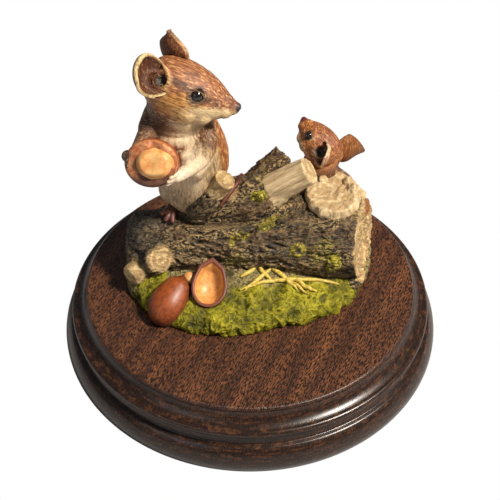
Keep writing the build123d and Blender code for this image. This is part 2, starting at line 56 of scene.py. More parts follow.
def feed(tree, node, inputs):
    """Gives each named input of a node its value or its link."""
    for name, value in inputs.items():
        if isinstance(value, bpy.types.NodeSocket):
            tree.links.new(value, node.inputs[name])
        else:
            node.inputs[name].default_value = value
    return node


def put(tree, kind, inputs=None, **settings):
    """New node in a tree, with its settings and inputs."""
    made = tree.nodes.new(kind)
    for name, value in settings.items():
        setattr(made, name, value)
    return feed(tree, made, inputs or {})


def join(kind, inputs, **settings):
    """New node in the tree of the sockets that are linked to it."""
    tree = next(value.id_data for value in inputs.values() if isinstance(value, bpy.types.NodeSocket))
    return put(tree, kind, inputs, **settings)


def blend(share, first, second):
    """Colour between two others."""
    return join("ShaderNodeMix", {0: share, 6: first, 7: second}, data_type="RGBA").outputs[2]


def cover(base, *layers):
    """Colour with layers over it, each given as its share and its colour."""
    for share, colour in layers:
        base = blend(share, base, colour)
    return base


def spread(value, low, high, least=0.0, most=1.0):
    """Value brought from one range to another, with soft ends."""
    ranges = {"Value": value, "From Min": low, "From Max": high, "To Min": least, "To Max": most}
    return join("ShaderNodeMapRange", ranges, interpolation_type="SMOOTHSTEP").outputs[0]


def reckon(way, first, second=0.0):
    """Two values put together by a plain sum."""
    return join("ShaderNodeMath", {0: first, 1: second}, operation=way).outputs[0]


def times(first, second):
    """Product of two values."""
    return reckon("MULTIPLY", first, second)


def millimetres(tree, stretch=(1, 1, 1), turn=(0, 0, 0)):
    """Place on the piece in millimetres, turned and stretched for a grain."""
    place = put(tree, "ShaderNodeTexCoord").outputs["Object"]
    if any(turn):
        place = join("ShaderNodeMapping", {"Vector": place, "Rotation": turn}).outputs[0]
    return join("ShaderNodeMapping", {"Vector": place, "Scale": Vector(stretch) * 1000}).outputs[0]


def mottle(place, scale, detail=3.0, roughness=0.55):
    """Soft cloudy noise at a number of lumps per millimetre."""
    inputs = {"Vector": place, "Scale": scale, "Detail": detail, "Roughness": roughness}
    return join("ShaderNodeTexNoise", inputs).outputs[0]


def dent(height, strength, depth):
    """Surface normal that follows a height in millimetres."""
    inputs = {"Height": height, "Strength": strength, "Distance": depth * 0.001}
    return join("ShaderNodeBump", inputs).outputs[0]


def new_finish(name):
    """Empty material with its node tree and its surface shader."""
    material = bpy.data.materials.new(name)
    material.use_nodes = True
    return material, material.node_tree, material.node_tree.nodes["Principled BSDF"]


def arc(start, middle, end, steps):
    """Points on the arc through three (radius, height) pairs."""
    (ax, ay), (bx, by), (cx, cy) = start, middle, end
    d = 2 * (ax * (by - cy) + bx * (cy - ay) + cx * (ay - by))
    a2, b2, c2 = ax * ax + ay * ay, bx * bx + by * by, cx * cx + cy * cy
    ox = (a2 * (by - cy) + b2 * (cy - ay) + c2 * (ay - by)) / d
    oy = (a2 * (cx - bx) + b2 * (ax - cx) + c2 * (bx - ax)) / d
    radius = math.hypot(ax - ox, ay - oy)
    first = math.atan2(ay - oy, ax - ox)
    sweep = (math.atan2(cy - oy, cx - ox) - first + math.pi) % (2 * math.pi) - math.pi
    middle_turn = (math.atan2(by - oy, bx - ox) - first + math.pi) % (2 * math.pi) - math.pi
    if sweep * middle_turn < 0:
        sweep -= math.copysign(2 * math.pi, sweep)
    turns = [first + sweep * step / steps for step in range(steps + 1)]
    return [(ox + radius * math.cos(t), oy + radius * math.sin(t)) for t in turns]


def stand(name, data):
    """New object in the scene."""
    made = bpy.data.objects.new(name, data)
    bpy.context.collection.objects.link(made)
    return made


def finish_piece(piece, nodes, paint=None):
    """Paints a piece and hands it to the frame in place of the CAD nodes that it shows."""
    if paint:
        piece.data.materials.append(paint)
    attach(piece, "root")
    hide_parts(*nodes)


plinth_top = 26
plinth_profile = [(0, 1.2), (40, 1.2), (61.8, 1.2)]
plinth_profile += arc((62.3, 1.25), (65, 7.4), (62.6, 13.3), 20)
plinth_profile += [(62.2, 13.55), (61.3, 13.65), (60.9, 13.9), (60.8, 17.1), (60.9, 17.35)]
plinth_profile += arc((61.4, 17.4), (62.0, 18.6), (60.5, 19.95), 10)
plinth_profile += arc((60.2, 20.05), (57.9, 21.7), (56.62, 24.3), 14)
plinth_profile += arc((56.6, 24.6), (56.5, 25.7), (56.1, plinth_top), 6)
plinth_profile += [(radius, plinth_top) for radius in (55.6, 50, 30, 0)]
plinth_steps = 224
corners = []
for radius, height in plinth_profile:
    for step in range(plinth_steps if radius else 1):
        turn = 2 * math.pi * step / plinth_steps
        corners.append((radius * math.cos(turn) / 1000, radius * math.sin(turn) / 1000, height / 1000))
panels = []
low_start = 0
for lower, upper in zip(plinth_profile, plinth_profile[1:]):
    high_start = low_start + (plinth_steps if lower[0] else 1)
    for step in range(plinth_steps):
        after = (step + 1) % plinth_steps
        low_edge = [low_start + step, low_start + after] if lower[0] else [low_start]
        high_edge = [high_start + after, high_start + step] if upper[0] else [high_start]
        panels.append(low_edge + high_edge)
    low_start = high_start
plinth_mesh = bpy.data.meshes.new("plinth_wood")
plinth_mesh.from_pydata(corners, [], panels)
plinth_mesh.shade_smooth()

mahogany, tree, surface = new_finish("mahogany")
grain_turn = (0, 0, math.radians(-66))
along = millimetres(tree, (0.42, 1.7, 0.8), grain_turn)
wide_grain = mottle(millimetres(tree, (0.05, 0.5, 0.3), grain_turn), 0.5, 4)
pores = spread(mottle(along, 1.45, 2, 0.6), 0.465, 0.54)
fine_pores = spread(mottle(along, 2.6, 2, 0.7), 0.48, 0.62)
streaks = mottle(millimetres(tree, (0.02, 0.6, 0.3), grain_turn), 0.5, 3)
top_tone = cover(
    blend(spread(wide_grain, 0.3, 0.7), tone(78, 45, 27), tone(116, 71, 43)),
    (spread(streaks, 0.5, 0.66, 0, 0.28), tone(42, 22, 17)),
    (spread(streaks, 0.42, 0.34, 0, 0.25), tone(150, 92, 50)),
    (times(pores, 0.95), tone(22, 12, 9)),
    (times(fine_pores, 0.65), tone(40, 22, 16)),
)
flat = join("ShaderNodeVectorMath", {0: millimetres(tree), 1: (1, 1, 0)}, operation="MULTIPLY")
from_middle = join("ShaderNodeVectorMath", {0: flat.outputs[0]}, operation="LENGTH").outputs["Value"]
on_edge = spread(from_middle, 55.6, 57.2)
turned = mottle(millimetres(tree, (0.2, 0.2, 1.5)), 1.3, 4, 0.65)
edge_tone = blend(spread(turned, 0.46, 0.66), tone(30, 19, 14), tone(80, 50, 31))
edge_tone = blend(times(pores, 0.6), edge_tone, tone(24, 15, 12))
pore_depth = times(reckon("MAXIMUM", pores, fine_pores), spread(on_edge, 0, 1, 1, 0.12))
feed(tree, surface, {
    "Base Color": blend(times(on_edge, 0.9), top_tone, edge_tone),
    "Roughness": spread(on_edge, 0, 1, 0.42, 0.27),
    "Normal": dent(reckon("SUBTRACT", 1.0, pore_depth), 0.4, 0.08),
    "Specular IOR Level": 0.4,
})
finish_piece(stand("plinth_wood", plinth_mesh), ["plinth"], mahogany)

# Baize pad and screws: green felt glued under the plinth, and two plain steel screws.
# Both are out of sight from the photograph's side.
baize, tree, surface = new_finish("baize")
felt = mottle(millimetres(tree), 1.4, 6, 0.7)
feed(tree, surface, {
    "Base Color": blend(spread(felt, 0.35, 0.65), tone(24, 48, 34), tone(52, 86, 62)),
    "Roughness": 0.95,
    "Normal": dent(felt, 0.6, 0.2),
})
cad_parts["baize_pad"].material_slots[0].material = baize
screw_steel, tree, surface = new_finish("screw_steel")
brushed = mottle(millimetres(tree, (1, 1, 0.1)), 3.0, 3)
feed(tree, surface, {
    "Base Color": blend(brushed, tone(120, 118, 112), tone(178, 176, 170)),
    "Metallic": 1.0,
    "Roughness": spread(brushed, 0.3, 0.7, 0.28, 0.45),
})
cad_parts["fixing_screws"].material_slots[0].material = screw_steel

# Moss ground: the cast mound that cradles the log, modelled as cushions of moss.
# It is one casting with the log and is painted olive with a bright yellow-green front, with painted
# highlights on its crests and painted shade in its hollows.


def beads(points, radii, share=0.35):
    """Balls strung closely along a path, as (centre, radius) pairs."""
    string = []
    for (start, end), (thick, thin) in zip(zip(points, points[1:]), zip(radii, radii[1:])):
        start, end = Vector(start), Vector(end)
        count = max(1, int((end - start).length / (min(thick, thin) * share)))
        for step in range(count):
            way = step / count
            string.append((start.lerp(end, way), thick + (thin - thick) * way))
    string.append((Vector(points[-1]), radii[-1]))
    return string


def settle(piece):
    """Keeps what a piece's modifiers make as its plain mesh."""
    graph = bpy.context.evaluated_depsgraph_get()
    made = bpy.data.meshes.new_from_object(
        piece.evaluated_get(graph), preserve_all_data_layers=True, depsgraph=graph
    )
    piece.modifiers.clear()
    old = piece.data
    piece.data = made
    made.name = piece.name
    bpy.data.meshes.remove(old)
    made.shade_smooth()


def cast_skin(name, nodes, lumps, grain, rounds):
    """One closed skin over CAD nodes and added balls, with an even mesh, all in millimetres."""
    shape = bmesh.new()
    for node in nodes:
        part = bmesh.new()
        part.from_mesh(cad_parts[node].data)
        bmesh.ops.remove_doubles(part, verts=part.verts, dist=1e-7)
        copy = bpy.data.meshes.new("copy")
        part.to_mesh(copy)
        part.free()
        shape.from_mesh(copy)
        bpy.data.meshes.remove(copy)
    for center, radius in lumps:
        place = Matrix.Translation(Vector(center) / 1000)
        bmesh.ops.create_icosphere(shape, subdivisions=2, radius=radius / 1000, matrix=place)
    mesh = bpy.data.meshes.new(name)
    shape.to_mesh(mesh)
    shape.free()
    piece = stand(name, mesh)
    remesh = piece.modifiers.new("even_mesh", "REMESH")
    remesh.mode = "VOXEL"
    remesh.voxel_size = grain / 1000
    soften = piece.modifiers.new("soften", "SMOOTH")
    soften.factor = 0.5
    soften.iterations = rounds
    settle(piece)
    piece.data.materials.clear()
    return piece


def spots_of(piece):
    """Points of a piece in millimetres and the directions that they face."""
    rows = []
    for field in ("co", "normal"):
        row = np.empty(len(piece.data.vertices) * 3)
        piece.data.vertices.foreach_get(field, row)
        rows.append(row.reshape(-1, 3))
    return rows[0] * 1000, rows[1]


def move_to(piece, spots):
    """Puts the points of a piece at places in millimetres."""
    piece.data.vertices.foreach_set("co", (spots / 1000).astype(np.float32).ravel())
    piece.data.update()


def note(piece, name, values, kind="FLOAT", field="value"):
    """Keeps a value, a place or a colour on every point of a piece for its paint."""
    made = piece.data.attributes.new(name, kind, "POINT")
    made.data.foreach_set(field, np.asarray(values, np.float32).ravel())


def step_up(values, low, high):
    """Soft step from 0 to 1 between two values."""
    share = np.clip((values - low) / (high - low), 0, 1)
    return share * share * (3 - 2 * share)


def fade(values, low, high):
    """Soft step from 1 to 0 between two values."""
    return 1 - step_up(values, low, high)


def away(spots, place):
    """Distance of every spot from a place."""
    return np.linalg.norm(spots - np.array(place), axis=1)


def cloud(spots, scale, seed=0.0):
    """Smooth noise from -1 to 1 at places in millimetres."""
    shift = Vector((seed * 17.3, seed * 5.1, seed * 9.7))
    return np.array([noise.noise(Vector(p) * scale + shift) for p in spots])


def near_line(spots, points):
    """Distance of every spot from a bent line, and how far along that line it lies from 0 to 1."""
    best = np.full(len(spots), 1e9)
    along = np.zeros(len(spots))
    total = len(points) - 1
    for number, (start, end) in enumerate(zip(points, points[1:])):
        start, end = np.array(start, float), np.array(end, float)
        way = end - start
        share = np.clip(((spots - start) @ way) / (way @ way), 0, 1)
        gap = np.linalg.norm(spots - start - share[:, None] * way, axis=1)
        closer = gap < best
        best[closer] = gap[closer]
        along[closer] = (number + share[closer]) / total
    return best, along


def new_tree(name, inputs):
    """Geometry Nodes tree with a mesh in and out and named values to set."""
    tree = bpy.data.node_groups.new(name, "GeometryNodeTree")
    tree.interface.new_socket("Geometry", in_out="INPUT", socket_type="NodeSocketGeometry")
    for label, value in inputs.items():
        kind = "NodeSocketInt" if isinstance(value, int) else "NodeSocketFloat"
        tree.interface.new_socket(label, in_out="INPUT", socket_type=kind).default_value = value
    tree.interface.new_socket("Material", in_out="INPUT", socket_type="NodeSocketMaterial")
    tree.interface.new_socket("Geometry", in_out="OUTPUT", socket_type="NodeSocketGeometry")
    return tree, tree.nodes.new("NodeGroupInput").outputs


def end_tree(tree, geometry, material):
    """Closes a tree: instances made real and the material set."""
    real = join("GeometryNodeRealizeInstances", {0: geometry})
    painted = join("GeometryNodeSetMaterial", {"Geometry": real.outputs[0], "Material": material})
    put(tree, "NodeGroupOutput", {0: painted.outputs[0]})


def grow(piece, tree, settings):
    """Runs a tree on a piece with its named values and keeps the plain mesh."""
    modifier = piece.modifiers.new(tree.name, "NODES")
    modifier.node_group = tree
    for item in tree.interface.items_tree:
        if item.in_out == "INPUT" and item.name in settings:
            modifier[item.identifier] = settings[item.name]
    settle(piece)


def noted(tree, name, kind):
    """Value that a piece's points carry into a tree."""
    made = put(tree, "GeometryNodeInputNamedAttribute", {"Name": name}, data_type=kind)
    return made.outputs["Attribute"]


relief_values = {"Lump scale": 0.2, "Lump height": 1.0, "Wrinkle scale": 0.8, "Wrinkle height": 0.4}
relief, given = new_tree("cast_relief", {**relief_values, "Seed": 1.0})
lie = noted(relief, "lie", "FLOAT_VECTOR")
swells = []
for scale, bend in (("Lump scale", 0.6), ("Wrinkle scale", 1.2)):
    inputs = {"Vector": lie, "W": given["Seed"], "Scale": given[scale], "Detail": 3.0, "Distortion": bend}
    made = join("ShaderNodeTexNoise", inputs, noise_dimensions="4D")
    swells.append(reckon("SUBTRACT", made.outputs[0], 0.5))
lump = times(swells[0], 2.0)
ridge = reckon("SUBTRACT", 0.5, times(reckon("ABSOLUTE", swells[1]), 4.0))
height = reckon("ADD", times(lump, given["Lump height"]), times(ridge, given["Wrinkle height"]))
height = times(times(height, noted(relief, "relief", "FLOAT")), 0.001)
marked = given["Geometry"]
for label, value in (("ridge", ridge), ("lump", lump)):
    inputs = {"Geometry": marked, "Name": label, "Value": value}
    marked = join("GeometryNodeStoreNamedAttribute", inputs, data_type="FLOAT", domain="POINT").outputs[0]
facing = put(relief, "GeometryNodeInputNormal").outputs[0]
push = join("ShaderNodeVectorMath", {0: facing, "Scale": height}, operation="SCALE").outputs[0]
moved = join("GeometryNodeSetPosition", {"Geometry": marked, "Offset": push})
end_tree(relief, moved.outputs[0], given["Material"])


def raise_relief(piece, paint, lie, share, lump, wrinkle, seed):
    """Raises lumps and wrinkles, each as its scale and height, along a skin's own lie."""
    note(piece, "lie", lie, "FLOAT_VECTOR", "vector")
    note(piece, "relief", share)
    settings = {"Lump scale": lump[0], "Lump height": lump[1], "Seed": seed, "Material": paint}
    grow(piece, relief, {**settings, "Wrinkle scale": wrinkle[0], "Wrinkle height": wrinkle[1]})


def effect_group(name, inputs, outputs):
    """Shader node group for an effect that several finishes share."""
    group = bpy.data.node_groups.new(name, "ShaderNodeTree")
    for label, kind in inputs.items():
        group.interface.new_socket(label, in_out="INPUT", socket_type=kind)
    for label in outputs:
        group.interface.new_socket(label, in_out="OUTPUT", socket_type="NodeSocketFloat")
    return group, group.nodes.new("NodeGroupInput").outputs, group.nodes.new("NodeGroupOutput")


def use(tree, group, inputs):
    """Outputs of a shared effect in a finish."""
    return put(tree, "ShaderNodeGroup", inputs, node_tree=group).outputs


def attribute(tree, name, output="Fac"):
    """Value or colour that a piece carries on its points."""
    return put(tree, "ShaderNodeAttribute", attribute_name=name).outputs[output]


crust, given, results = effect_group(
    "crust", {"Place": "NodeSocketVector", "Scale": "NodeSocketFloat"}, ("Height", "Crest", "Groove")
)
inputs = {"Vector": given["Place"], "Scale": given["Scale"], "Detail": 4.0, "Roughness": 0.6}
worms = join("ShaderNodeTexNoise", {**inputs, "Distortion": 1.4}).outputs[0]
fold = times(reckon("ABSOLUTE", reckon("SUBTRACT", worms, 0.5)), 6.0)
feed(crust, results, {
    "Height": spread(fold, 1.0, 0.0),
    "Crest": spread(fold, 0.4, 0.05),
    "Groove": spread(fold, 0.5, 1.1),
})

moss_paint, tree, surface = new_finish("moss_paint")
place = attribute(tree, "lie", "Vector")
ridge = attribute(tree, "ridge")
lump = attribute(tree, "lump")
fuzz = use(tree, crust, {"Place": place, "Scale": 0.5})
folds = use(tree, crust, {"Place": place, "Scale": 0.24})
speck = mottle(place, 1.3, 4, 0.65)
patch = mottle(place, 0.1, 3)
earthy = blend(spread(speck, 0.35, 0.65), tone(76, 66, 40), tone(140, 124, 80))
# Painted highlight: the crests of the fine crust are painted paler.
earthy = blend(times(fuzz["Crest"], 0.55), earthy, tone(182, 164, 108))
# Painted highlight: the crests of the relief and of the folds are painted yellow, and the folds' grooves dark
# as painted shade.
moss_crest_highlight = times(spread(ridge, 0.1, 0.5), spread(lump, -0.25, 0.3))
green = cover(
    blend(spread(speck, 0.3, 0.7), tone(84, 80, 8), tone(116, 110, 12)),
    (times(folds["Groove"], 0.55), tone(46, 44, 8)),
    (times(folds["Crest"], 0.3), tone(178, 166, 36)),
    (times(moss_crest_highlight, 0.7), tone(178, 166, 34)),
)
front_share = reckon("ADD", attribute(tree, "front"), reckon("SUBTRACT", patch, 0.5))
earth_share = spread(front_share, 0.75, 0.25, 0.05, 0.65)
# Painted shade: the low parts of the relief and the crust's grooves are painted near black.
hollow = reckon("MAXIMUM", spread(ridge, 0.1, -0.6), spread(lump, 0.0, -0.45))
hollow = reckon("MAXIMUM", hollow, times(fuzz["Groove"], earth_share))
moss_tone = blend(spread(front_share, 0.25, 0.75), earthy, green)
feed(tree, surface, {
    "Base Color": blend(times(hollow, 0.92), moss_tone, tone(32, 30, 11)),
    "Roughness": 0.6,
    "Specular IOR Level": 0.3,
    "Normal": dent(reckon("ADD", times(fuzz["Height"], earth_share), folds["Height"]), 0.7, 0.8),
})
moss = cast_skin("moss_cushion", ["moss_ground"], [], 0.5, 3)
spots, ways = spots_of(moss)
front = step_up(-spots[:, 1] + 0.1 * spots[:, 0] + cloud(spots, 0.12, 6) * 7, 5, 14)
by_end = away(spots[:, :2], (34.0, -8.5))
front = np.maximum(front, fade(by_end + cloud(spots, 0.2, 7) * 2, 4, 8))
by_stub = away(spots[:, :2], (-34.0, -8.0))
front = np.maximum(front, 0.8 - 0.8 * step_up(by_stub + cloud(spots, 0.2, 9) * 3, 5, 10))
off_nuts = np.ones(len(spots))
for nut in ((-26.9, -14.0), (-13.6, -11.0)):
    off_nuts *= step_up(away(spots[:, :2], nut), 8.5, 12)
note(moss, "front", front)
moss_share = (0.35 + 0.65 * front) * (0.1 + 0.9 * off_nuts)
raise_relief(moss, moss_paint, spots, moss_share, lump=(0.11, 3.4), wrinkle=(0.2, 1.8), seed=2.0)
spots, ways = spots_of(moss)
spots[:, 2] = np.maximum(spots[:, 2], plinth_top + 0.02)
move_to(moss, spots)
finish_piece(moss, ["moss_ground"])

# Log: a fallen trunk with an upper limb and broken side stubs, cast in one with the ground.
# Its bark is deeply wrinkled, with painted shade in its grooves and painted highlights on its crests, and
# moss in the creases.
rings_effect, given, results = effect_group(
    "growth_rings",
    {"Reach": "NodeSocketFloat", "Place": "NodeSocketVector", "Rings": "NodeSocketFloat"},
    ("Ring",),
)
wander = mottle(given["Place"], 0.16, 3, 0.5)
wave = reckon("SINE", times(reckon("ADD", given["Reach"], times(wander, 9.0)), given["Rings"]))
feed(rings_effect, results, {"Ring": spread(wave, -0.4, 0.9)})


def growth_rings(tree, number):
    """Rings round the middle of a cut end, as many to the millimetre as the number says."""
    inputs = {"Reach": attribute(tree, "rings"), "Place": millimetres(tree), "Rings": number}
    return use(tree, rings_effect, inputs)["Ring"]


bark_paint, tree, surface = new_finish("bark_paint")
place = attribute(tree, "lie", "Vector")
ridge = attribute(tree, "ridge")
scales = use(tree, crust, {"Place": place, "Scale": 0.62})
speck = mottle(place, 0.9, 5, 0.65)
patch = mottle(place, 0.09, 3)
stretched = join("ShaderNodeVectorMath", {0: place, 1: (0.45, 1.5, 1.5)}, operation="MULTIPLY").outputs[0]
fibres = mottle(stretched, 0.62, 4, 0.68)
crust_patches = spread(mottle(place, 0.15, 2), 0.4, 0.62)
# Painted highlight: the crests of the crust are painted pale, in patches.
bark_crest_highlight = times(times(scales["Crest"], spread(ridge, -0.3, 0.45)), spread(crust_patches, 0, 1, 0.3, 0.95))
# Painted shade: the crust's grooves and the low parts of the relief are painted near black.
furrow_shade = times(scales["Groove"], spread(crust_patches, 0, 1, 0.35, 0.9))
bark_groove_shade = reckon("MAXIMUM", spread(ridge, 0.1, -0.6), furrow_shade)
bark_groove_shade = reckon("MAXIMUM", bark_groove_shade, spread(attribute(tree, "lump"), -0.1, -0.5, 0, 0.85))
bare_tone = cover(
    blend(growth_rings(tree, 2.6), tone(178, 144, 96), tone(212, 182, 130)),
    (spread(speck, 0.5, 0.3, 0, 0.5), tone(142, 106, 64)),
    # Painted shade: the low parts of the bare wood's relief are painted darker.
    (spread(ridge, 0.0, -0.6, 0, 0.65), tone(104, 76, 44)),
)
bark_tone = cover(
    blend(spread(fibres, 0.38, 0.64), tone(22, 17, 12), tone(84, 61, 36)),
    (spread(patch, 0.45, 0.62, 0, 0.55), tone(88, 60, 30)),
    (bark_crest_highlight, tone(176, 148, 98)),
    (times(bark_groove_shade, 0.92), tone(20, 16, 12)),
    (attribute(tree, "mossy"), blend(scales["Crest"], tone(92, 82, 18), tone(188, 172, 50))),
    (attribute(tree, "bare"), bare_tone),
    (attribute(tree, "rot"), blend(speck, tone(96, 48, 20), tone(190, 116, 52))),
    # Painted shade: the dark mark on the log's left end and in the hollow at its right end.
    (attribute(tree, "dark"), blend(scales["Crest"], tone(20, 18, 18), tone(70, 62, 52))),
)
bark_height = times(scales["Height"], spread(crust_patches, 0, 1, 0.4, 1.0))
feed(tree, surface, {
    "Base Color": bark_tone,
    "Roughness": 0.55,
    "Normal": dent(reckon("ADD", bark_height, times(fibres, 1.6)), 0.85, 0.6),
})
ring_knot = np.array((16.1, -4.6, 45.9))
knot_steps = 16
tufts = [(27.9, -6.4, 44.4), (28.1, -6.9, 42.4), (27.6, -6.6, 40.2)]
limb_tuft = [(2.2, 4.6, 62.2), (3.8, 4.2, 62.6)]
log_lumps = beads(tufts, (0.9, 1.7, 1.0)) + beads(limb_tuft, (1.0, 1.3))
for step in range(knot_steps):
    turn = 2 * math.pi * step / knot_steps
    knot_edge = Vector((1.5 * math.cos(turn), 0.55 * math.sin(turn), 1.5 * math.sin(turn)))
    log_lumps.append((Vector(ring_knot) + knot_edge, 0.85))
log_lumps += [((36.6, -1.2, 29.4), 2.6), ((35.2, -4.4, 30.2), 2.2), ((38.0, 2.0, 28.6), 2.2)]
log_nodes = ["log", "bark_stub", "perch_stub", "knot_stub", "broken_stub"]
log_bark = cast_skin("log_bark", log_nodes, log_lumps, 0.4, 3)
spots, ways = spots_of(log_bark)
wobble = cloud(spots, 0.3, 8)


def unit(direction):
    """Direction brought to length 1."""
    return np.array(direction) / np.linalg.norm(direction)


def press(spots, ways, depths):
    """Spots pushed into a surface."""
    return spots - ways * depths[:, None]


def highest(*shares):
    """Largest of several shares at every spot."""
    return np.maximum.reduce(shares)


bare = np.zeros(len(spots))
rings = np.zeros(len(spots))
for tip, direction, radius, depth in (
    ((-8.0, 6.0, 68.4), (0.5, -0.1, 0.86), 6.0, 2.0),
    ((-30.4, -3.6, 40.4), (0.35, -0.85, 0.4), 4.8, 1.6),
    ((-40.8, -4.3, 33.0), (-0.72, -0.68, -0.12), 4.6, 2.0),
    ((38.8, 6.6, 40.8), (0.95, -0.25, 0.12), 15.0, 5.0),
):
    direction = unit(direction)
    apart = spots - np.array(tip)
    height = apart @ direction
    around = np.linalg.norm(apart - height[:, None] * direction, axis=1)
    cut_face = step_up(ways @ direction + wobble * 0.2, 0.35, 0.7) * step_up(height, -depth, -depth * 0.4)
    cut_face *= around < radius
    rings = np.where(cut_face > bare, around, rings)
    bare = highest(bare, cut_face)
perch_foot = np.array((-18.0, 8.0, 51.2))
perch_way = np.array((0.5, -0.1, 0.86))
gap, way = near_line(spots, [perch_foot, perch_foot + perch_way * 22])
bare = highest(bare, step_up((spots - perch_foot) @ perch_way + wobble * 1.5, 11.6, 13.4) * (gap < 7))
gap, way = near_line(spots, [(-33.6, 2.5, 34.2), (-40.8, -4.3, 33.0)])
bare = highest(bare, step_up(way + wobble * 0.2, 0.5, 0.7) * (gap < 5.6) * 0.9)
gap, way = near_line(spots, [(-32.8, 2, 37.8), (-30.0, -4.8, 41)])
bare = highest(bare, step_up(way + wobble * 0.2, 0.55, 0.8) * (gap < 5.6) * 0.7)
mossy = step_up(cloud(spots, 0.11, 3), 0.3, 0.6) * 0.35 * (1 - bare)
crease = [(-5.5, -2.2, 47.6), (-1.6, -0.9, 49.6), (4.1, 0.4, 51.6), (9.1, 2.6, 53.6), (12.5, 4.6, 54.4)]
gap, way = near_line(spots, crease)
spots = press(spots, ways, fade(gap, 0.3, 1.8) * 1.3)
mossy = highest(mossy, fade(gap + wobble * 2.2, 0.2, 1.6) * 0.85)
for places, reach in ((tufts, 2.6), (limb_tuft, 2.4)):
    gap, way = near_line(spots, places)
    mossy = highest(mossy, fade(gap + wobble, reach - 0.8, reach))
from_knot = away(spots, ring_knot)
mossy = highest(mossy, fade(np.abs(from_knot - 1.9) + wobble * 0.6, 0.3, 1.1) * 0.85)
# Painted shade: a hollow under the right end, and the left end, most on its top, are painted dark.
dark = fade(away(spots, (35.5, -2.0, 31.8)) + wobble * 1.5, 2.2, 4.2)
left_end_shade = step_up(-spots[:, 0] + wobble * 6, 20, 38)
dark = highest(dark, left_end_shade * (0.45 + 0.4 * step_up(spots[:, 2], 38, 46)))
move_to(log_bark, spots)
note(log_bark, "bare", bare)
note(log_bark, "rings", rings)
note(log_bark, "mossy", mossy)
note(log_bark, "rot", fade(away(spots, (39.6, 14.2, 49.0)) + wobble * 2, 1.5, 4.5))
note(log_bark, "dark", dark * (1 - bare))
end_share = step_up(spots[:, 0], 35, 37.5)
bark_share = (1 - (0.75 - 0.55 * end_share) * bare) * (0.2 + 0.8 * step_up(from_knot, 2.4, 4.5))
bark_share *= step_up(spots[:, 2], 27, 29)
limb = [(-37.8, 10.5, 40.2), (-23.8, 11.2, 44.0), (-13.2, 11.0, 48.6), (-3.1, 10.4, 54.6), (8.8, 9.3, 59.4)]
limb_gap, way = near_line(spots, limb)
trunk_gap, way = near_line(spots, [(-41.6, 8.4, 37.0), (46.4, 5.8, 40.6)])
on_limb = step_up(trunk_gap - 13 - (limb_gap - 8), -1.5, 1.5)[:, None]
grains = []
for grain_way in (np.array((1.0, 0, 0)), np.array((0.86, -0.03, 0.5))):
    grains.append(spots - np.outer(spots @ grain_way, grain_way) * 0.55)
bark_lie = grains[0] + (grains[1] - grains[0]) * on_limb
raise_relief(log_bark, bark_paint, bark_lie, bark_share, lump=(0.13, 2.4), wrinkle=(0.38, 1.6), seed=5.0)
finish_piece(log_bark, log_nodes)

# Cut stump and bare branch: pale wood where a limb was sawn off and a branch lost its bark.
# Both are cast with the log and painted cream with a tan wash in the growth rings.
bare_wood, tree, surface = new_finish("bare_wood")
place = attribute(tree, "lie", "Vector")
chips = use(tree, crust, {"Place": place, "Scale": 0.3})
speck = mottle(place, 0.8, 4, 0.6)
ring = times(reckon("SUBTRACT", 1.0, growth_rings(tree, 1.7)), attribute(tree, "face"))
wood_tone = cover(
    blend(spread(speck, 0.3, 0.7), tone(176, 148, 106), tone(212, 188, 146)),
    (times(ring, 0.55), tone(146, 112, 68)),
    # Painted shade: the chip grooves and the low parts of the relief are painted darker.
    (times(chips["Groove"], 0.4), tone(118, 88, 52)),
    (spread(attribute(tree, "ridge"), 0.0, -0.6, 0, 0.5), tone(118, 88, 52)),
)
feed(tree, surface, {
    "Base Color": wood_tone,
    "Roughness": 0.6,
    "Normal": dent(reckon("SUBTRACT", chips["Height"], ring), 0.5, 0.35),
})
stump_lumps = [((35.0, 12.4, 58.3), 2.3), ((33.4, 15.6, 58.4), 2.0), ((24.6, 17.4, 58.2), 1.9)]
rim_steps = 11
for step in range(rim_steps):
    turn = 2 * math.pi * step / rim_steps + 0.5 * math.sin(step * 2.3)
    far = 8.4 + 0.9 * math.sin(3.1 * turn + 0.6) + 0.5 * math.sin(7.3 * turn)
    edge = (28.0 + far * math.cos(turn), 11.7 + far * math.sin(turn), 56.2 + 0.6 * math.sin(5 * turn))
    stump_lumps.append((edge, 1.8 + 0.7 * math.sin(4.7 * turn + 1)))
stump = cast_skin("stump_wood", ["cut_stump"], stump_lumps, 0.35, 4)
spots, ways = spots_of(stump)
note(stump, "face", step_up(ways[:, 2], 0.5, 0.8))
note(stump, "rings", np.hypot((spots[:, 0] - 25.6) * 1.15, spots[:, 1] - 12.4))
stump_lie = spots * np.array((1, 1, 0.45))
full = np.ones(len(spots))
raise_relief(stump, bare_wood, stump_lie, full, lump=(0.17, 1.1), wrinkle=(0.22, 0.5), seed=7.0)
finish_piece(stump, ["cut_stump"])
branch_foot = np.array((-0.8, 9.8, 54.6))
branch_way = unit((0.8, -0.04, 0.59))
flare = beads([(9.0, 8.6, 60.6), (6.6, 7.6, 58.8), (5.6, 7.2, 58.0)], (4.6, 4.3, 3.4), 0.2)
branch = cast_skin("branch_wood", ["bare_branch"], flare, 0.35, 4)
spots, ways = spots_of(branch)
apart = spots - branch_foot
reach = apart @ branch_way
out = apart - reach[:, None] * branch_way
note(branch, "face", step_up(ways @ branch_way, 0.6, 0.85))
note(branch, "rings", np.linalg.norm(out, axis=1))
branch_share = 0.5 + 0.5 * step_up(25.5 - reach, 0, 3)
branch_lie = out * 1.1 + (reach * 0.16)[:, None] * branch_way
raise_relief(branch, bare_wood, branch_lie, branch_share, lump=(0.2, 1.1), wrinkle=(0.26, 0.3), seed=9.0)
finish_piece(branch, ["bare_branch"])

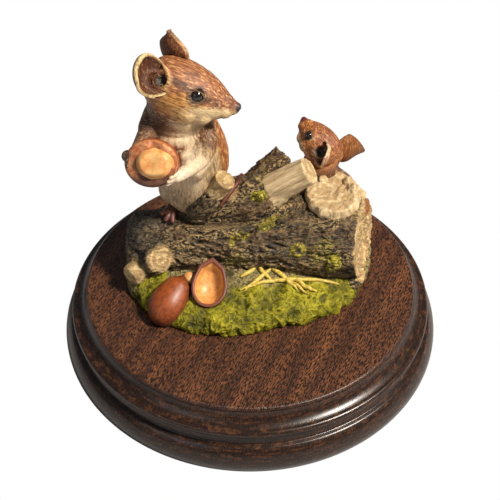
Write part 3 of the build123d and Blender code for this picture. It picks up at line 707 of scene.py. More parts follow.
# Grass: seven dry straws that lie crossed on the moss in front of the log.
# They are cast in one with the ground and picked out in yellow.
straw_paint, tree, surface = new_finish("straw_paint")
fibre = mottle(millimetres(tree, (0.4, 1, 1)), 2.2, 3)
feed(tree, surface, {
    "Base Color": blend(spread(fibre, 0.3, 0.7), tone(160, 132, 46), tone(216, 190, 88)),
    "Roughness": 0.5,
    "Normal": dent(fibre, 0.4, 0.12),
})


def on_moss(x, y, lift):
    """Place just over the moss at a spot seen from above."""
    hit, place, way, face = moss.ray_cast(Vector((x / 1000, y / 1000, 0.06)), Vector((0, 0, -1)))
    return Vector((x / 1000, y / 1000, place.z + lift / 1000 if hit else 0.034))


straw_joints = 16
straw_lift = 0.65
straw_points = []
straw_edges = []
for line in (
    [(3.4, -0.6), (10.9, -6.9), (19.6, -13.4)],
    [(-3.3, -12.9), (5.5, -9.5), (12.9, -7.9), (30.4, -6.7)],
    [(-3.2, -7.8), (0.2, -5.6), (2.0, -3.8)],
    [(2.6, -1.4), (3.8, -5.5), (8.2, -9.8)],
    [(9.2, -4.6), (12.9, -9.0), (15.8, -12.0)],
    [(-1.8, -13.0), (2.8, -8.6), (7.2, -4.4)],
    [(14.6, -7.7), (18.3, -10.4), (22.4, -12.4)],
):
    first = len(straw_points)
    steps = np.linspace(0, len(line) - 1, straw_joints + 1)
    rows = [np.interp(steps, range(len(line)), row) for row in zip(*line)]
    for row in rows:
        for soften in range(4):
            row[1:-1] = (row[:-2] + row[1:-1] * 2 + row[2:]) / 4
    straw_points += [on_moss(x, y, straw_lift) for x, y in zip(*rows)]
    straw_edges += [(first + step, first + step + 1) for step in range(straw_joints)]
straw_mesh = bpy.data.meshes.new("straw_lines")
straw_mesh.from_pydata(straw_points, straw_edges, [])
straws = stand("grass_straws", straw_mesh)
tree, given = new_tree("lay_straws", {"Straw width": 1.3, "Straw steps": 30})
paths = join("GeometryNodeMeshToCurve", {"Mesh": given["Geometry"]})
even = join("GeometryNodeResampleCurve", {"Curve": paths.outputs[0], "Count": given["Straw steps"]})
share = put(tree, "GeometryNodeSplineParameter").outputs["Factor"]
taper = reckon("SQRT", reckon("SINE", times(reckon("ADD", share, 0.03), 2.95)))
wide = times(times(given["Straw width"], 0.0005), taper)
thick = join("GeometryNodeSetCurveRadius", {"Curve": even.outputs[0], "Radius": wide}).outputs[0]
round_edge = put(tree, "GeometryNodeCurvePrimitiveCircle", {"Resolution": 10, "Radius": 1.0}).outputs[0]
inputs = {"Curve": thick, "Profile Curve": round_edge, "Scale": wide, "Fill Caps": True}
end_tree(tree, join("GeometryNodeCurveToMesh", inputs).outputs[0], given["Material"])
grow(straws, tree, {"Straw width": 1.5, "Straw steps": 30, "Material": straw_paint})
finish_piece(straws, ["grass_blades"])

# Hazelnuts on the moss: one half shell lying domed side up, one standing open, and a crumb.
# They are cast pieces stained red-brown with a tan lining.
nut_paint, tree, surface = new_finish("nut_paint")
round_nut = join("ShaderNodeCombineXYZ", {0: times(attribute(tree, "around"), 9.0)}).outputs[0]
streak = mottle(round_nut, 1.0, 4, 0.6)
speck = mottle(millimetres(tree), 0.7, 4)
shell_tone = cover(
    blend(spread(streak, 0.3, 0.7), tone(130, 58, 16), tone(154, 76, 22)),
    (spread(speck, 0.42, 0.68, 0, 0.65), tone(92, 36, 20)),
    (attribute(tree, "inside"), blend(spread(speck, 0.3, 0.7), tone(186, 122, 60), tone(216, 158, 90))),
    (attribute(tree, "rim"), tone(112, 54, 34)),
    (attribute(tree, "blush"), blend(spread(speck, 0.35, 0.65), tone(164, 92, 54), tone(222, 156, 106))),
    (attribute(tree, "shaded"), tone(50, 24, 17)),
)
feed(tree, surface, {
    "Base Color": shell_tone,
    "Roughness": 0.48,
    "Normal": dent(reckon("ADD", streak, speck), 0.3, 0.12),
    "Coat Weight": 0.15,
    "Coat Roughness": 0.35,
})


def nut_shell(name, node, origin, tip_way, opening, rim_wide):
    """Half shell from its CAD node, marked inside, on its rim and round its axis."""
    shell = cast_skin(name, [node], [], 0.26, 4)
    spots, ways = spots_of(shell)
    tip_way = unit(tip_way)
    opening = unit(np.array(opening) - tip_way * (np.array(opening) @ tip_way))
    across = np.cross(opening, tip_way)
    apart = spots - np.array(origin)
    out = apart - (apart @ tip_way)[:, None] * tip_way
    out /= np.maximum(np.linalg.norm(out, axis=1), 0.01)[:, None]
    outside = np.sum(out * ways, axis=1)
    height = apart @ opening
    ragged = height + cloud(spots, 0.5, 12) * 0.5
    note(shell, "inside", step_up(-outside, -0.1, 0.35) * step_up(-height, 0.2, 0.7))
    note(shell, "rim", step_up(ragged, -rim_wide, -rim_wide * 0.4))
    note(shell, "shaded", step_up(ragged, -4.5, -0.8) * 0.6 * step_up(outside, 0, 0.3))
    note(shell, "around", np.arctan2(apart @ across, -height))
    finish_piece(shell, [node], nut_paint)


nut_shell("nut_domed", "nut_shell_domed", (-26.9, -14, 31), (0.5, 0.7, 0.5), (0.3, 0.42, -0.86), 0.5)
nut_shell("nut_open", "nut_shell_open", (-13.6, -12, 37.6), (0.12, 0.86, 0.5), (-0.02, -0.5, 0.86), 0.7)
kernel_paint, tree, surface = new_finish("kernel_paint")
speck = mottle(millimetres(tree), 0.35, 5, 0.6)
veins = mottle(millimetres(tree, (1, 0.5, 0.5)), 0.9, 3)
kernel_tone = blend(spread(speck, 0.35, 0.7), tone(222, 174, 110), tone(196, 126, 66))
feed(tree, surface, {
    "Base Color": blend(spread(veins, 0.58, 0.7, 0, 0.35), kernel_tone, tone(196, 118, 60)),
    "Roughness": 0.45,
    "Normal": dent(speck, 0.3, 0.25),
})
crumb = cast_skin("nut_crumb_bit", ["nut_crumb"], [], 0.25, 2)
finish_piece(crumb, ["nut_crumb"], kernel_paint)

# Adult mouse: body, head and arms are one painted casting that sits on the log.
# Its fur is cut in fine strokes: chestnut above, golden on the cheek, cream below.


def from_head(seat, place):
    """Place in the frame of something measured from a skull: to its left, upwards and forwards."""
    center, left, up, front = seat
    return Vector(center + left * place[0] + up * place[1] + front * place[2])


def on_skull(spots, seat):
    """Places measured from a skull: to its left, upwards and forwards."""
    apart = spots - seat[0]
    return np.stack([apart @ direction for direction in seat[1:]], axis=1)


def lid_ring(seat, eye, size):
    """Ring of small balls round a bead eye for its lids."""
    lid_steps = 36
    out = eye[0] + math.copysign(1, eye[0]) * 0.55 * size
    radius = eye[3] * 1.03
    ring = []
    for step in range(lid_steps):
        turn = 2 * math.pi * step / lid_steps
        spot = (out, eye[1] + radius * 0.95 * math.sin(turn), eye[2] + radius * 1.1 * math.cos(turn))
        ring.append((from_head(seat, spot), 0.42 * size))
    return ring


def face_lumps(seat, size, muzzle, eyes):
    """Cheeks, brows, whisker pads, chin and nose that fill out a plain head."""
    lumps = []
    for eye in eyes:
        lumps += lid_ring(seat, eye, size)
    cheek = [(5.3, -2.6, 5.5, 4.5), (4.2, -3.2, 10.5, 3.6), (2.0, -0.6, 16.6, 2.7), (1.4, -1.8, 17.2, 1.8)]
    chin = [(0, -3.2, 11.5, 3.4), (0, -2.8, 14.6, 2.8), (0, -1.9, 17.2, 2.2)]
    nose = [(0, 2.4, 16.4, 2.0), (0, 1.0, 19.8, 1.6)]
    for x, y, z, radius in [(-x, *rest) for x, *rest in cheek] + cheek + chin + nose:
        lumps.append((from_head(seat, (x * size, y * size, z * size * muzzle)), radius * size))
    return lumps


head_left = np.array((0.225, 0.974, 0.0))
head_front = np.array((0.936, -0.216, -0.28))
adult_seat = (np.array((-23.0, 10.9, 102.7)), head_left, np.cross(head_front, head_left), head_front)
adult_eyes = [(-5.7, 4.5, 7.1, 2.15), (4.7, 4.1, 7.1, 2.15)]
adult_lumps = face_lumps(adult_seat, 1.0, 1.0, adult_eyes)
neck_middle = Vector((-23, 11.9, 90.1))
ruff_steps = 28
for step in range(ruff_steps):
    turn = 2 * math.pi * step / ruff_steps
    ruff = neck_middle + Vector((6.9 * math.cos(turn), 6.5 * math.sin(turn), 0.4 * math.sin(turn)))
    adult_lumps.append((ruff, 3.2))
    adult_lumps.append((ruff + Vector((0.9 * math.cos(turn), 0.9 * math.sin(turn), -3.4)), 3.1))
adult_lumps += [((-17.2, 10.6, 88.4), 4.0), ((-15.6, 9.6, 86.6), 3.6)]
haunch = [(-16.4, 13, 88), (-15.0, 14, 84), (-13.4, 15, 78)]
haunch += [(-12.6, 16, 72), (-12.6, 16, 67), (-13.6, 14.5, 62)]
flank = [(-15.6, 11, 82), (-14.4, 11, 74), (-14.4, 10.6, 68)]
ear_ridge = [from_head(adult_seat, place) for place in ((4.4, 5.4, -5.5), (4.8, 6.2, -3.0), (4.6, 5.8, -0.5))]
ear_fold = [(-27.1, 9.1, 113.0), (-25.9, 7.6, 111.9), (-25.0, 5.3, 110.6)]
ear_fold += [(-25.2, 4.0, 109.4), (-26.4, 3.4, 108.2)]
left_forearm = [(-15.6, 5.0, 83.6), (-17.6, 2.8, 82.8), (-20.0, 0.8, 81.6)]
right_shoulder = [(-28.4, 13.0, 95.0), (-30.2, 11.6, 90.8), (-32.0, 8.2, 88.2)]
under_elbow = [(-14.8, 8.6, 81.0), (-15.6, 6.6, 77.5), (-17.2, 5.2, 74.0)]
adult_lumps += beads(haunch, (4.6, 5.2, 5.5, 5.8, 5.9, 5.6), 0.15)
adult_lumps += beads(flank, (4.4, 4.9, 4.9), 0.15)
adult_lumps += beads(ear_ridge, (1.6, 2.0, 1.6), 0.12)
adult_lumps += beads(ear_fold, (0.5, 0.7, 0.8, 0.75, 0.5), 0.25)
adult_lumps += beads(left_forearm, (3.6, 3.5, 3.0), 0.15)
adult_lumps += beads(right_shoulder, (4.0, 4.4, 4.1), 0.2)
adult_lumps += beads(under_elbow, (4.3, 4.2, 4.2), 0.2)
adult_nodes = ["adult_body", "adult_head", "adult_left_arm", "adult_right_arm"]
adult = cast_skin("adult_fur", adult_nodes, adult_lumps, 0.32, 8)
spots, ways = spots_of(adult)
clean_local = on_skull(spots, adult_seat)
mouth = [(0, -0.9, 20.0), (1.9, -1.5, 18.6), (3.1, -1.9, 16.6), (3.9, -1.7, 14.6)]
mouth_gaps = []
for side in (-1, 1):
    gap, way = near_line(clean_local, [(side * x, y, z) for x, y, z in mouth])
    mouth_gaps.append(gap)
    spots = press(spots, ways, fade(gap, 0.15, 0.75) * 0.5)
    spots = press(spots, ways, fade(away(clean_local, (side * 0.75, 0.9, 21.2)), 0.2, 0.6) * 0.35)
ear_hollow = away(spots, (-27.3, 5.1, 109.6))
spots = press(spots, ways, fade(ear_hollow, 0.6, 2.2) * 1.3)
move_to(adult, spots)


def undercoat(spots, colour):
    """One colour on every spot."""
    return np.tile(np.array(tone(*colour)[:3]), (len(spots), 1))


def lay(coat, colour, share):
    """Paints a colour over a coat where its share is high."""
    coat += (np.array(tone(*colour)[:3]) - coat) * np.clip(share, 0, 1)[:, None]


def dab(places, center, sizes, soft=0.35):
    """Soft-edged oval of paint round a place."""
    reach = np.linalg.norm((places - np.array(center)) / np.array(sizes), axis=1)
    return fade(reach, 1 - soft, 1 + soft)


def wear(piece, coat, head_spots, on_head, bare_skin):
    """Keeps a mouse's painted coat, and what its fur strokes follow, on its points."""
    note(piece, "coat", np.c_[coat, np.ones(len(coat))], "FLOAT_COLOR", "color")
    note(piece, "head_spots", head_spots, "FLOAT_VECTOR", "vector")
    note(piece, "on_head", on_head)
    note(piece, "smooth_skin", bare_skin)
    note(piece, "pale", step_up(coat[:, 2], 0.1, 0.3))


shake = np.stack([cloud(spots, 0.55, seed) for seed in (1, 2, 3)], axis=1) * 0.7
local = clean_local + shake
body_spots = spots + shake
on_head = step_up(spots[:, 2] - 0.28 * (spots[:, 0] + 23), 88.0, 95.0)
off_head = 1 - on_head
rise = np.clip((body_spots[:, 2] - 46.6) / 43.5, 0, 1)
spine = np.array((-18.4, 18.5)) + rise[:, None] * np.array((-4.6, -6.6))
outward = body_spots[:, :2] - spine
outward /= np.maximum(np.linalg.norm(outward, axis=1), 0.1)[:, None]
forwards = outward @ np.array((-0.5, -0.866))
belly = step_up(forwards, -0.2, 0.05)
coat = undercoat(spots, (158, 96, 46))
lay(coat, (160, 122, 76), step_up(forwards, -0.36, -0.1) * off_head)
lay(coat, (168, 140, 104), belly * off_head)
lay(coat, (212, 186, 150), step_up(forwards, 0.35, 0.75) * off_head)
# Painted shade: the lower belly is painted darker.
lay(coat, (168, 140, 106), step_up(-spots[:, 2], -70, -60) * belly * 0.8)
left_arm = [(-16.2, 9.9, 88.2), (-13.9, 5.7, 84.8), (-16.5, 1.1, 80.5)]
left_arm += [(-20.8, -2.1, 78.6), (-23.4, -4.1, 77.7)]
gap, way = near_line(body_spots, left_arm)
arm = fade(gap, 3.9, 4.6)
lay(coat, (222, 198, 164), fade(gap, 5.2, 6.6) * step_up(way, 0.36, 0.56))
lay(coat, (158, 128, 90), arm * step_up(way, 0.24, 0.3) * fade(way, 0.36, 0.5))
lay(coat, (112, 70, 38), arm * fade(way, 0.24, 0.38))
wedge, way_down = near_line(body_spots, [(-18.0, 9.0, 90.5), (-16.6, 6.6, 86.5), (-17.6, 3.6, 82.4)])
lay(coat, (112, 70, 38), fade(wedge + way_down, 2.6, 3.8) * 0.95)
# Painted shade in the crease between the left arm and the belly.
crease = fade(np.abs(gap - 4.1), 0.3, 0.9) * step_up(way, 0.1, 0.25) * fade(way, 0.8, 0.95)
lay(coat, (84, 56, 36), crease * 0.4 * step_up(-spots[:, 2] + 92, 2, 5))
right_arm = [(-29, 11.5, 90.2), (-32.6, 5.9, 87.6), (-35, 1.2, 85.5), (-37.4, -2.3, 82.6)]
gap, way = near_line(body_spots, right_arm)
arm = fade(gap, 3.9, 5.0)
lay(coat, (96, 62, 42), arm * fade(way, 0.42, 0.6))
lay(coat, (206, 178, 138), arm * step_up(way, 0.42, 0.6) * fade(way, 0.8, 0.9))
crown = undercoat(spots, (148, 90, 52))
lay(crown, (122, 68, 40), step_up(local[:, 2], 12, 19))
coat += (crown - coat) * on_head[:, None]
# Painted shade on the neck under the back of the head.
lay(coat, (84, 52, 36), on_head * step_up(-local[:, 1], 5.0, 8.5) * step_up(-local[:, 2], -7, -1))
lay(coat, (196, 166, 128), on_head * step_up(-local[:, 1], 4.6, 7.0) * step_up(local[:, 2], 0, 5))
beside = np.stack((np.abs(local[:, 0]), local[:, 1], local[:, 2]), axis=1)
lay(coat, (190, 130, 62), dab(beside, (9.2, 0.0, 3.4), (5.5, 4.6, 8.5)) * on_head)
lay(coat, (212, 162, 98), dab(beside, (8.8, -2.6, 6.0), (4.5, 3.2, 6.0)) * on_head)
jaw_line = 2.2 - np.clip(local[:, 2] - 14, 0, 7) * 0.26
jaw = step_up(jaw_line - local[:, 1], -0.7, 1.1) * step_up(local[:, 2], 3.0, 9.5)
lay(coat, (216, 186, 140), jaw * on_head)
stripe = [(5.7, 7.5, -2.5), (7.0, 6.1, 3.5), (6.2, 4.9, 6.5), (5.6, 4.0, 10.5), (4.7, 3.3, 13.4)]
gap, way = near_line(beside, stripe)
lay(coat, (58, 36, 26), fade(gap + shake[:, 2] * 1.2, 0.2, 1.9) * 0.75)
for side, gap in zip((-1, 1), mouth_gaps):
    eye = np.array((side * 6.3, 4.5, 7.1))
    reach = np.linalg.norm((clean_local - eye) / np.array((2.4, 0.95, 1.1)), axis=1)
    lay(coat, (48, 32, 24), fade(reach, 2.5, 3.1) * 0.9)
    lay(coat, (140, 98, 58), fade(np.abs(reach - 2.25), 0.1, 0.32) * 0.6)
    lay(coat, (92, 58, 42), fade(gap, 0.1, 0.55) * 0.7)
in_ear = step_up(-spots[:, 0], 25.3, 26.3) * fade(ear_hollow, 4.2, 5.4)
lay(coat, (96, 56, 36), in_ear)
lay(coat, (150, 100, 62), in_ear * fade(np.abs(ear_hollow - 3.0), 0.2, 0.7) * 0.8)
# Painted shade: the pressed ear hollow is painted near black.
lay(coat, (12, 8, 7), fade(ear_hollow, 1.5, 2.4))
gap, way = near_line(spots, ear_fold)
lay(coat, (188, 142, 92), fade(gap, 0.6, 1.1) * 0.8)
nose = dab(clean_local, (0, 1.2, 20.7), (2.1, 1.5, 1.5), 0.2)
lay(coat, (50, 42, 38), nose)
lay(coat, (226, 202, 176), fade(away(spots, (-23.0, -5.5, 77.6)), 4.5, 6.5))
# Painted shade: the right hand, behind the nut, is painted dark.
lay(coat, (74, 46, 36), fade(away(spots, (-38.2, -1.8, 83.6)), 3.6, 4.6))
wear(adult, coat, clean_local, on_head, nose)

fur_strokes, given, results = effect_group(
    "fur_strokes", {"Place": "NodeSocketVector"}, ("Shade", "Shine", "Height")
)
strokes = mottle(given["Place"], 1.5, 3, 0.7)
clumps = mottle(given["Place"], 0.4, 2)
feed(fur_strokes, results, {
    "Shade": reckon("MAXIMUM", spread(strokes, 0.51, 0.4), spread(clumps, 0.45, 0.3, 0, 0.6)),
    "Shine": spread(strokes, 0.54, 0.65),
    "Height": reckon("ADD", strokes, clumps),
})

fur_paint, tree, surface = new_finish("fur_paint")
coat_tone = attribute(tree, "coat", "Color")
bare_skin = attribute(tree, "smooth_skin")
head_spots = attribute(tree, "head_spots", "Vector")
head_lie = join("ShaderNodeVectorMath", {0: head_spots, 1: (1, 1, 0.22)}, operation="MULTIPLY").outputs[0]
inputs = {0: attribute(tree, "on_head"), 4: millimetres(tree, (1, 1, 0.22)), 5: head_lie}
fur_lie = join("ShaderNodeMix", inputs, data_type="VECTOR").outputs[1]
combed = use(tree, fur_strokes, {"Place": fur_lie})
cut_deep = spread(attribute(tree, "pale"), 0, 1, 0.85, 0.3)
fur_tone = cover(
    coat_tone,
    (times(combed["Shade"], cut_deep), blend(0.75, coat_tone, tone(48, 26, 16))),
    (times(combed["Shine"], 0.75), blend(0.55, coat_tone, tone(238, 200, 138))),
    (bare_skin, coat_tone),
)
feed(tree, surface, {
    "Base Color": fur_tone,
    "Roughness": spread(bare_skin, 0, 1, 0.55, 0.3),
    "Normal": dent(combed["Height"], 0.6, 0.4),
})
finish_piece(adult, adult_nodes, fur_paint)

# Adult's ears: thin cupped shells let into the head, brown and hairy outside.
# The near one shows its hollow, darkened with painted shade, and a pale rim.
ear_paint, tree, surface = new_finish("ear_paint")
coat_tone = attribute(tree, "coat", "Color")
hairs = use(tree, fur_strokes, {"Place": millimetres(tree, (1, 1, 0.4))})
ear_tone = cover(
    coat_tone,
    (times(hairs["Shade"], 0.85), blend(0.65, coat_tone, tone(44, 24, 16))),
    (times(hairs["Shine"], 0.5), blend(0.4, coat_tone, tone(232, 180, 110))),
)
feed(tree, surface, {
    "Base Color": ear_tone,
    "Roughness": 0.6,
    "Specular IOR Level": 0.25,
    "Normal": dent(hairs["Height"], 0.4, 0.25),
})


def ear_folds(node, root, opening, forward, up, canal, size):
    """Balls along an ear's inner fold and along the rim of its CAD node."""
    across = np.cross(opening, forward)
    lumps = []
    fold_steps = 25
    for step in range(fold_steps + 1):
        bend = math.radians(70 + 220 * step / fold_steps)
        spot = forward * (canal + 3.0 * math.cos(bend)) + across * 3.2 * math.sin(bend)
        lift = 0.055 * float(spot @ spot) - 1.4
        lumps.append((Vector(root + (spot + opening * lift) * size), 0.75 * size))
    cup, cup_ways = spots_of(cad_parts[node])
    cup_wide = np.linalg.norm(cup - root - np.outer((cup - root) @ opening, opening), axis=1)
    cup_turn = np.arctan2((cup - root) @ across, (cup - root) @ forward)
    edge = []
    edge_steps = 79
    for step in range(edge_steps + 1):
        bend = math.radians(75 + 225 * step / edge_steps)
        apart = np.abs((cup_turn - bend + math.pi) % (2 * math.pi) - math.pi)
        edge.append(cup[np.argmax(np.where(apart < 0.08, cup_wide, 0))])
    edge = np.array(edge)
    for soften in range(30):
        edge[1:-1] = (edge[:-2] + 2 * edge[1:-1] + edge[2:]) / 4
    for step, spot in enumerate(edge):
        radius = (0.3 + 0.5 * math.sin(math.pi * step / edge_steps)) * size
        lumps.append((Vector(spot - up * 0.5 * size), radius))
    return lumps


def cupped_ear(name, node, seat, size, side, place, turn, canal, tones, point=None):
    """Ear from its CAD node, cupped with a fold or drawn to a point, painted in the cup and on the rim."""
    center, left, up, front = seat
    root = center + left * side * place[0] * size + up * place[1] * size - front * place[2] * size
    opening = unit(left * side * turn[0] + up * turn[1] + front * turn[2])
    forward = unit(front - opening * (front @ opening))
    lumps = [] if point else ear_folds(node, root, opening, forward, up, canal, size)
    ear = cast_skin(name, [node], lumps, 0.22 if size < 1 else 0.26, 4)
    spots, ways = spots_of(ear)
    apart = spots - root
    if point:
        tip = point["tip"]
        tip_way = left * side * tip[0] + up * tip[1] + front * tip[2]
        tip_way = unit(tip_way - opening * (tip_way @ opening))
        wide_way = np.cross(opening, tip_way)
        rise = np.clip((apart @ tip_way) / (7 * size), 0, 1.1)
        lean = apart @ wide_way
        bend = (point["bend"] * rise ** point["power"] + point["sideways"] * rise) * size
        narrow = lean * (1 - point["narrowing"] * rise**1.4) + bend
        spots = spots + np.outer(narrow - lean, wide_way)
        spots = spots + np.outer(rise**2 * point["longer"] * size, tip_way)
    around = np.linalg.norm(apart - (apart @ opening)[:, None] * opening, axis=1)
    inside = step_up(ways @ opening, -0.1, 0.3)
    rim = around - 0.1 * (apart @ forward) + cloud(spots, 0.4, 2) * 0.6
    # The last tone is painted shade round the canal of a cupped ear, and the tip colour of a pointed ear.
    back_tone, cup_tone, rim_tone, canal_shade_and_tip_tone = tones
    coat = undercoat(spots, back_tone)
    lay(coat, cup_tone, inside)
    lay(coat, rim_tone, step_up(rim, 5.5 * size, 6.5 * size) * step_up(ways @ opening, -0.5, 0))
    if point:
        lay(coat, canal_shade_and_tip_tone, step_up(rise, 0.5, 1.1) * 0.75)
    else:
        from_canal = np.linalg.norm(apart - forward * canal * size, axis=1)
        spots = press(spots, ways, inside * fade(from_canal, 0.8 * size, 2.2 * size) * 0.7 * size)
        # Painted shade round the canal.
        lay(coat, canal_shade_and_tip_tone, inside * fade(from_canal, 1.5 * size, 2.7 * size))
    move_to(ear, spots)
    note(ear, "coat", np.c_[coat, np.ones(len(coat))], "FLOAT_COLOR", "color")
    finish_piece(ear, [node], ear_paint)


cupped_ear(
    "near_ear", "adult_right_ear", adult_seat, size=1.0, side=-1, place=(8, 6.8, 9), turn=(0.3, 0.65, 0.6),
    canal=3.4, tones=((116, 66, 38), (80, 44, 28), (206, 178, 130), (52, 30, 21)),
)
point_back = {"tip": (0, 0.95, -0.3), "narrowing": 0.28, "longer": -2.8}
point_back |= {"bend": -6.2, "power": 3, "sideways": 3.4}
cupped_ear(
    "far_ear", "adult_left_ear", adult_seat, size=1.0, side=1, place=(7.2, 7.4, 5.6), turn=(0.8, 0.1, 0.6),
    canal=2.0, tones=((104, 58, 36), (120, 70, 42), (210, 164, 116), (62, 36, 25)), point=point_back,
)

# Eyes: black glass beads, two to each head.
# They are pressed into the sockets and glued, and the lids lap over their edges.
eye_gloss, tree, surface = new_finish("eye_gloss")
iris = mottle(millimetres(tree), 0.6, 2)
feed(tree, surface, {
    "Base Color": blend(iris, tone(10, 8, 8), tone(26, 18, 14)),
    "Roughness": 0.06,
    "Coat Weight": 0.6,
    "Coat Roughness": 0.03,
})


def bead_eyes(name, node, seat, places):
    """Two smooth beads in their sockets."""
    shape = bmesh.new()
    for place in places:
        spot = Matrix.Translation(from_head(seat, place) / 1000)
        bmesh.ops.create_uvsphere(shape, u_segments=40, v_segments=24, radius=place[3] / 1000, matrix=spot)
    mesh = bpy.data.meshes.new(name)
    shape.to_mesh(mesh)
    shape.free()
    mesh.shade_smooth()
    finish_piece(stand(name, mesh), [node], eye_gloss)


bead_eyes("adult_beads", "adult_eyes", adult_seat, adult_eyes)

# Adult's foot and tail: bare reddish skin, with the toes gripping the bark.
# Both are cast with the body, and the tail runs over the limb beside the perch stub.
skin_paint, tree, surface = new_finish("skin_paint")
speck = mottle(millimetres(tree), 1.2, 4)
feed(tree, surface, {
    "Base Color": blend(spread(speck, 0.3, 0.7), tone(48, 25, 19), tone(106, 55, 38)),
    "Roughness": 0.5,
    "Normal": dent(speck, 0.4, 0.15),
})
foot = cast_skin("adult_foot", ["adult_right_foot"], [], 0.2, 3)
finish_piece(foot, ["adult_right_foot"], skin_paint)
tail_path = [(-2.8, 14.2, 62.8), (-4.4, 9.4, 63.4), (-7.2, 6.2, 61.4), (-9.8, 3.6, 58.8)]
tail_thick = 0.85
tail_strip = beads(tail_path, (tail_thick, tail_thick, 0.8, 0.6))
tail = cast_skin("adult_long_tail", ["adult_tail"], tail_strip, 0.2, 3)
spots, ways = spots_of(tail)
gap, way = near_line(spots, tail_path)
steps = np.linspace(0, 1, len(tail_path))
middle = np.stack([np.interp(way, steps, row) for row in zip(*tail_path)], axis=1)
slim = np.where((way > 0) & (way < 1), np.minimum(1, tail_thick / np.maximum(gap, 0.1)), 1)
move_to(tail, middle + (spots - middle) * slim[:, None])
finish_piece(tail, ["adult_tail"], skin_paint)

# Held nut: an open hazelnut with its kernel showing in a broken rim.
# It is cast separately, painted, and glued between the adult's paws.
held_center = np.array((-30.7, -3.0, 83.1))
held_way = unit((-0.15, -0.8, 0.58))
level = unit(np.array((1.0, 0, 0)) - held_way * held_way[0])
upright = np.cross(held_way, level)


def shape_mouth(places, share):
    """Places round the nut's opening drawn out sideways and flattened."""
    apart = places - held_center
    sideways = (apart @ level) * 0.1 + 1.1
    upwards = -(apart @ upright) * 0.15
    return places + (np.outer(sideways, level) + np.outer(upwards, upright)) * share[:, None]


held = cast_skin("held_shell", ["held_nut_shell"], [], 0.26, 4)
spots, ways = spots_of(held)
apart = spots - held_center
height = apart @ held_way
around = np.linalg.norm(apart - height[:, None] * held_way, axis=1)
spots += np.outer((apart @ level) * 0.13 - 0.37, level)
on_rim = step_up(height, 1.8, 2.7)
wobble = cloud(spots, 0.28, 4)
spots = shape_mouth(spots, step_up(height, 0.5, 2.4) * fade(around, 6.6, 7.7))
inner = on_rim * fade(around, 6.4, 7.4)
spots += held_way * (wobble * 0.8 * on_rim - inner * 0.5)[:, None]
drawn_in = (held_center - spots) - np.outer((held_center - spots) @ held_way, held_way)
spots += drawn_in * ((0.17 + 0.06 * cloud(spots, 0.35, 9)) * inner)[:, None]
move_to(held, spots)
note(held, "blush", step_up(height, 1.2, 2.4) * (0.75 + 0.4 * wobble))
below = step_up(-(apart @ upright), 1.5, 6.0) * 0.85
note(held, "shaded", highest(below, step_up(-(apart @ level), 3.5, 8.0) * 0.5))
note(held, "around", np.arctan2(apart[:, 0], apart[:, 2]))
finish_piece(held, ["held_nut_shell"], nut_paint)
kernel = cast_skin("held_kernel", ["held_nut_kernel"], [], 0.26, 4)
spots, ways = spots_of(kernel)
spots = shape_mouth(spots, step_up((spots - held_center) @ held_way, 0.5, 2.4))
move_to(kernel, spots + ways * (cloud(spots, 0.22, 11) * 0.6)[:, None])
finish_piece(kernel, ["held_nut_kernel"], kernel_paint)

# Young mouse: stands behind the log with its head thrown back to look up at the adult.
# It is cast in one with its arms, painted like the adult, and glued to the log and the ground.
young_left = unit((-0.568, -0.79, 0.228))
young_front = unit((-0.58, 0.58, 0.57))
young_seat = (np.array((24.0, 23.0, 68.3)), young_left, np.cross(young_front, young_left), young_front)
young_size = 0.66
young_eyes = [(4.5, 2.1, 4.9, 1.25), (-3.0, 1.8, 4.9, 1.2)]
young_nape = [(29.8, 24.5, 67.4), (29.8, 24.0, 64.0), (28.8, 23.6, 60.0), (28.2, 24.0, 50.0)]
young_lumps = face_lumps(young_seat, young_size, 0.82, young_eyes)
young_lumps.append((from_head(young_seat, (3.7, 2.9, 3.8)), 1.5))
young_lumps += beads(young_nape, (2.0, 2.3, 2.5, 2.7), 0.15)
young_nodes = ["young_body", "young_head", "young_left_arm", "young_right_arm"]
young = cast_skin("young_fur", young_nodes, young_lumps, 0.3, 10)
spots, ways = spots_of(young)
neck_share = step_up(spots[:, 2], 46, 53) * fade(spots[:, 2], 59, 64)
past_neck = np.maximum(spots[:, 0] - 27.0, 0)
spots[:, 0] += (4.0 * np.tanh(past_neck / 4.0) - past_neck) * neck_share
local = on_skull(spots, young_seat)
shake = np.stack([cloud(spots, 0.6, seed) for seed in (4, 5, 6)], axis=1) * 0.6
places = local + shake
on_head = step_up(spots[:, 2] + shake[:, 0], 60, 63)
nose = dab(local, (0, 0.6, 11.0), (1.9, 1.6, 1.9), 0.3)
under = step_up(-places[:, 1] - 0.02 * places[:, 2], 0.6, 2.0)
coat = undercoat(spots, (156, 90, 40))
# Painted shade: the body under the thrown-back head is painted darker than the head.
lay(coat, (98, 58, 33), 1 - on_head)
lay(coat, (206, 172, 126), under * step_up(places[:, 2], -3, 2) * on_head)
lay(coat, (118, 56, 30), step_up(places[:, 1], 2.5, 5.5) * 0.6 * on_head)
lay(coat, (92, 44, 34), nose)
for place in young_eyes:
    eye = np.array(place[:3])
    reach = np.linalg.norm((local - eye) / np.array((2.2, 0.9, 1.0)), axis=1)
    lay(coat, (40, 25, 20), fade(reach, 1.45, 1.9))
    lay(coat, (198, 160, 118), dab(local, eye + np.array((0, 0.6, -1.6)), (2.0, 1.4, 0.35), 0.4) * 0.8)
hollow = away(spots, (23.6, 17.2, 70.6))
tuft, way = near_line(spots, [(21.6, 17.6, 70.2), (22.2, 17.0, 67.6), (23.4, 16.8, 65.6)])
lay(coat, (150, 124, 104), fade(tuft + shake[:, 1], 0.8, 1.8) * 0.8)
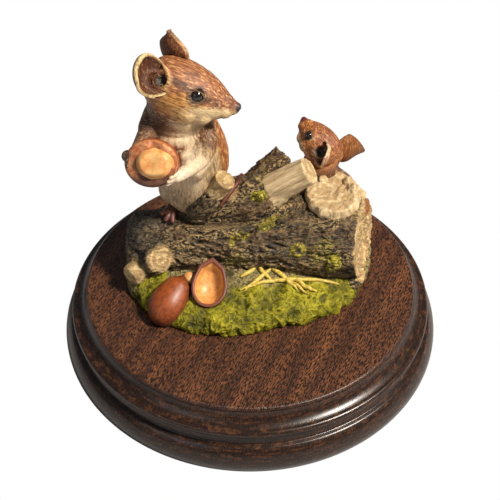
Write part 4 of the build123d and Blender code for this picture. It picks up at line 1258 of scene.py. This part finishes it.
# Painted shade: the pressed ear hollow is painted near black.
lay(coat, (20, 12, 10), fade(hollow, 1.5, 2.5))
spots = press(spots, ways, fade(hollow, 0.6, 2.3) * 1.5)
move_to(young, spots)
gap, way = near_line(spots, [(15.5, 17.0, 64.5), (13.7, 15.0, 65.6)])
lay(coat, (206, 150, 132), fade(gap, 2.2, 3.2))
wear(young, coat, local * 1.5, on_head, nose)
finish_piece(young, young_nodes, fur_paint)
cupped_ear(
    "young_near_ear", "young_left_ear", young_seat, size=young_size, side=1, place=(8, 5.2, 5),
    turn=(0.75, -0.12, 0.62), canal=1.0, tones=((146, 84, 38), (84, 56, 44), (206, 168, 136), (18, 11, 9)),
)
point_right = {"tip": (0.57, 0.58, -0.58), "narrowing": 0.5, "longer": 3.2}
point_right |= {"bend": 6.5, "power": 2, "sideways": 0}
cupped_ear(
    "young_far_ear", "young_right_ear", young_seat, size=0.83, side=-1, place=(10.8, 2.9, 7.6),
    turn=(0.2, -0.5, 0.7), canal=2.0, tones=((124, 72, 30), (96, 54, 26), (176, 128, 76), (34, 20, 16)),
    point=point_right,
)
bead_eyes("young_beads", "young_eyes", young_seat, young_eyes)
young_tail = cast_skin("young_long_tail", ["young_tail"], [], 0.25, 3)
finish_piece(young_tail, ["young_tail"], skin_paint)

# Floor, light and camera: a white table under a high soft key light from the right.
# A weak cool fill comes from the left, and the camera stands at the photograph's viewpoint.


def seen_share(tree):
    """Whether a surface is looked at, straight or through glass, rather than lighting the scene."""
    path = put(tree, "ShaderNodeLightPath").outputs
    return reckon("MAXIMUM", path["Is Camera Ray"], path["Is Transmission Ray"])


floor_mesh = bpy.data.meshes.new("floor")
floor_mesh.from_pydata([(-4, -4, 0), (4, -4, 0), (4, 4, 0), (-4, 4, 0)], [], [(0, 1, 2, 3)])
floor_white, tree, surface = new_finish("floor_white")
feed(tree, surface, {"Base Color": (0.45, 0.45, 0.46, 1), "Roughness": 0.9})
glow = put(tree, "ShaderNodeEmission", {"Color": (1, 1, 1, 1), "Strength": 1.0}).outputs[0]
pick = put(tree, "ShaderNodeMixShader", {0: seen_share(tree), 1: surface.outputs[0], 2: glow})
feed(tree, tree.nodes["Material Output"], {"Surface": pick.outputs[0]})
floor_mesh.materials.append(floor_white)
floor = stand("floor", floor_mesh)

world = bpy.data.worlds.new("studio")
bpy.context.scene.world = world
world.use_nodes = True
tree = world.node_tree
seen = seen_share(tree)
feed(tree, tree.nodes["Background"], {
    "Color": blend(seen, (0.9, 0.93, 1.0, 1), (1, 1, 1, 1)),
    "Strength": reckon("ADD", times(seen, 0.84), 0.16),
})


def studio_light(name, place, size, watts, colour):
    """Square soft light aimed at the middle of the log."""
    lamp = bpy.data.lights.new(name, "AREA")
    lamp.size = size
    lamp.energy = watts
    lamp.color = colour
    light = stand(name, lamp)
    light.location = place
    light.rotation_euler = (Vector((0, 0, 0.05)) - Vector(place)).to_track_quat("-Z", "Y").to_euler()


studio_light("key", (0.92, -0.4, 1.36), 0.28, 52.0, (1.0, 0.94, 0.84))
studio_light("fill", (-0.5, -0.6, 0.5), 0.5, 0.8, (0.85, 0.92, 1.0))

camera = bpy.data.cameras.new("photo_camera")
camera.sensor_width = 36
camera.lens = 101.97
camera.clip_end = 20
viewpoint = stand("photo_camera", camera)
viewpoint.location = (0, -0.34457, 0.37607)
viewpoint.rotation_euler = (math.radians(45.86), 0, 0)
bpy.context.scene.camera = viewpoint
bpy.context.scene.view_settings.view_transform = "Standard"
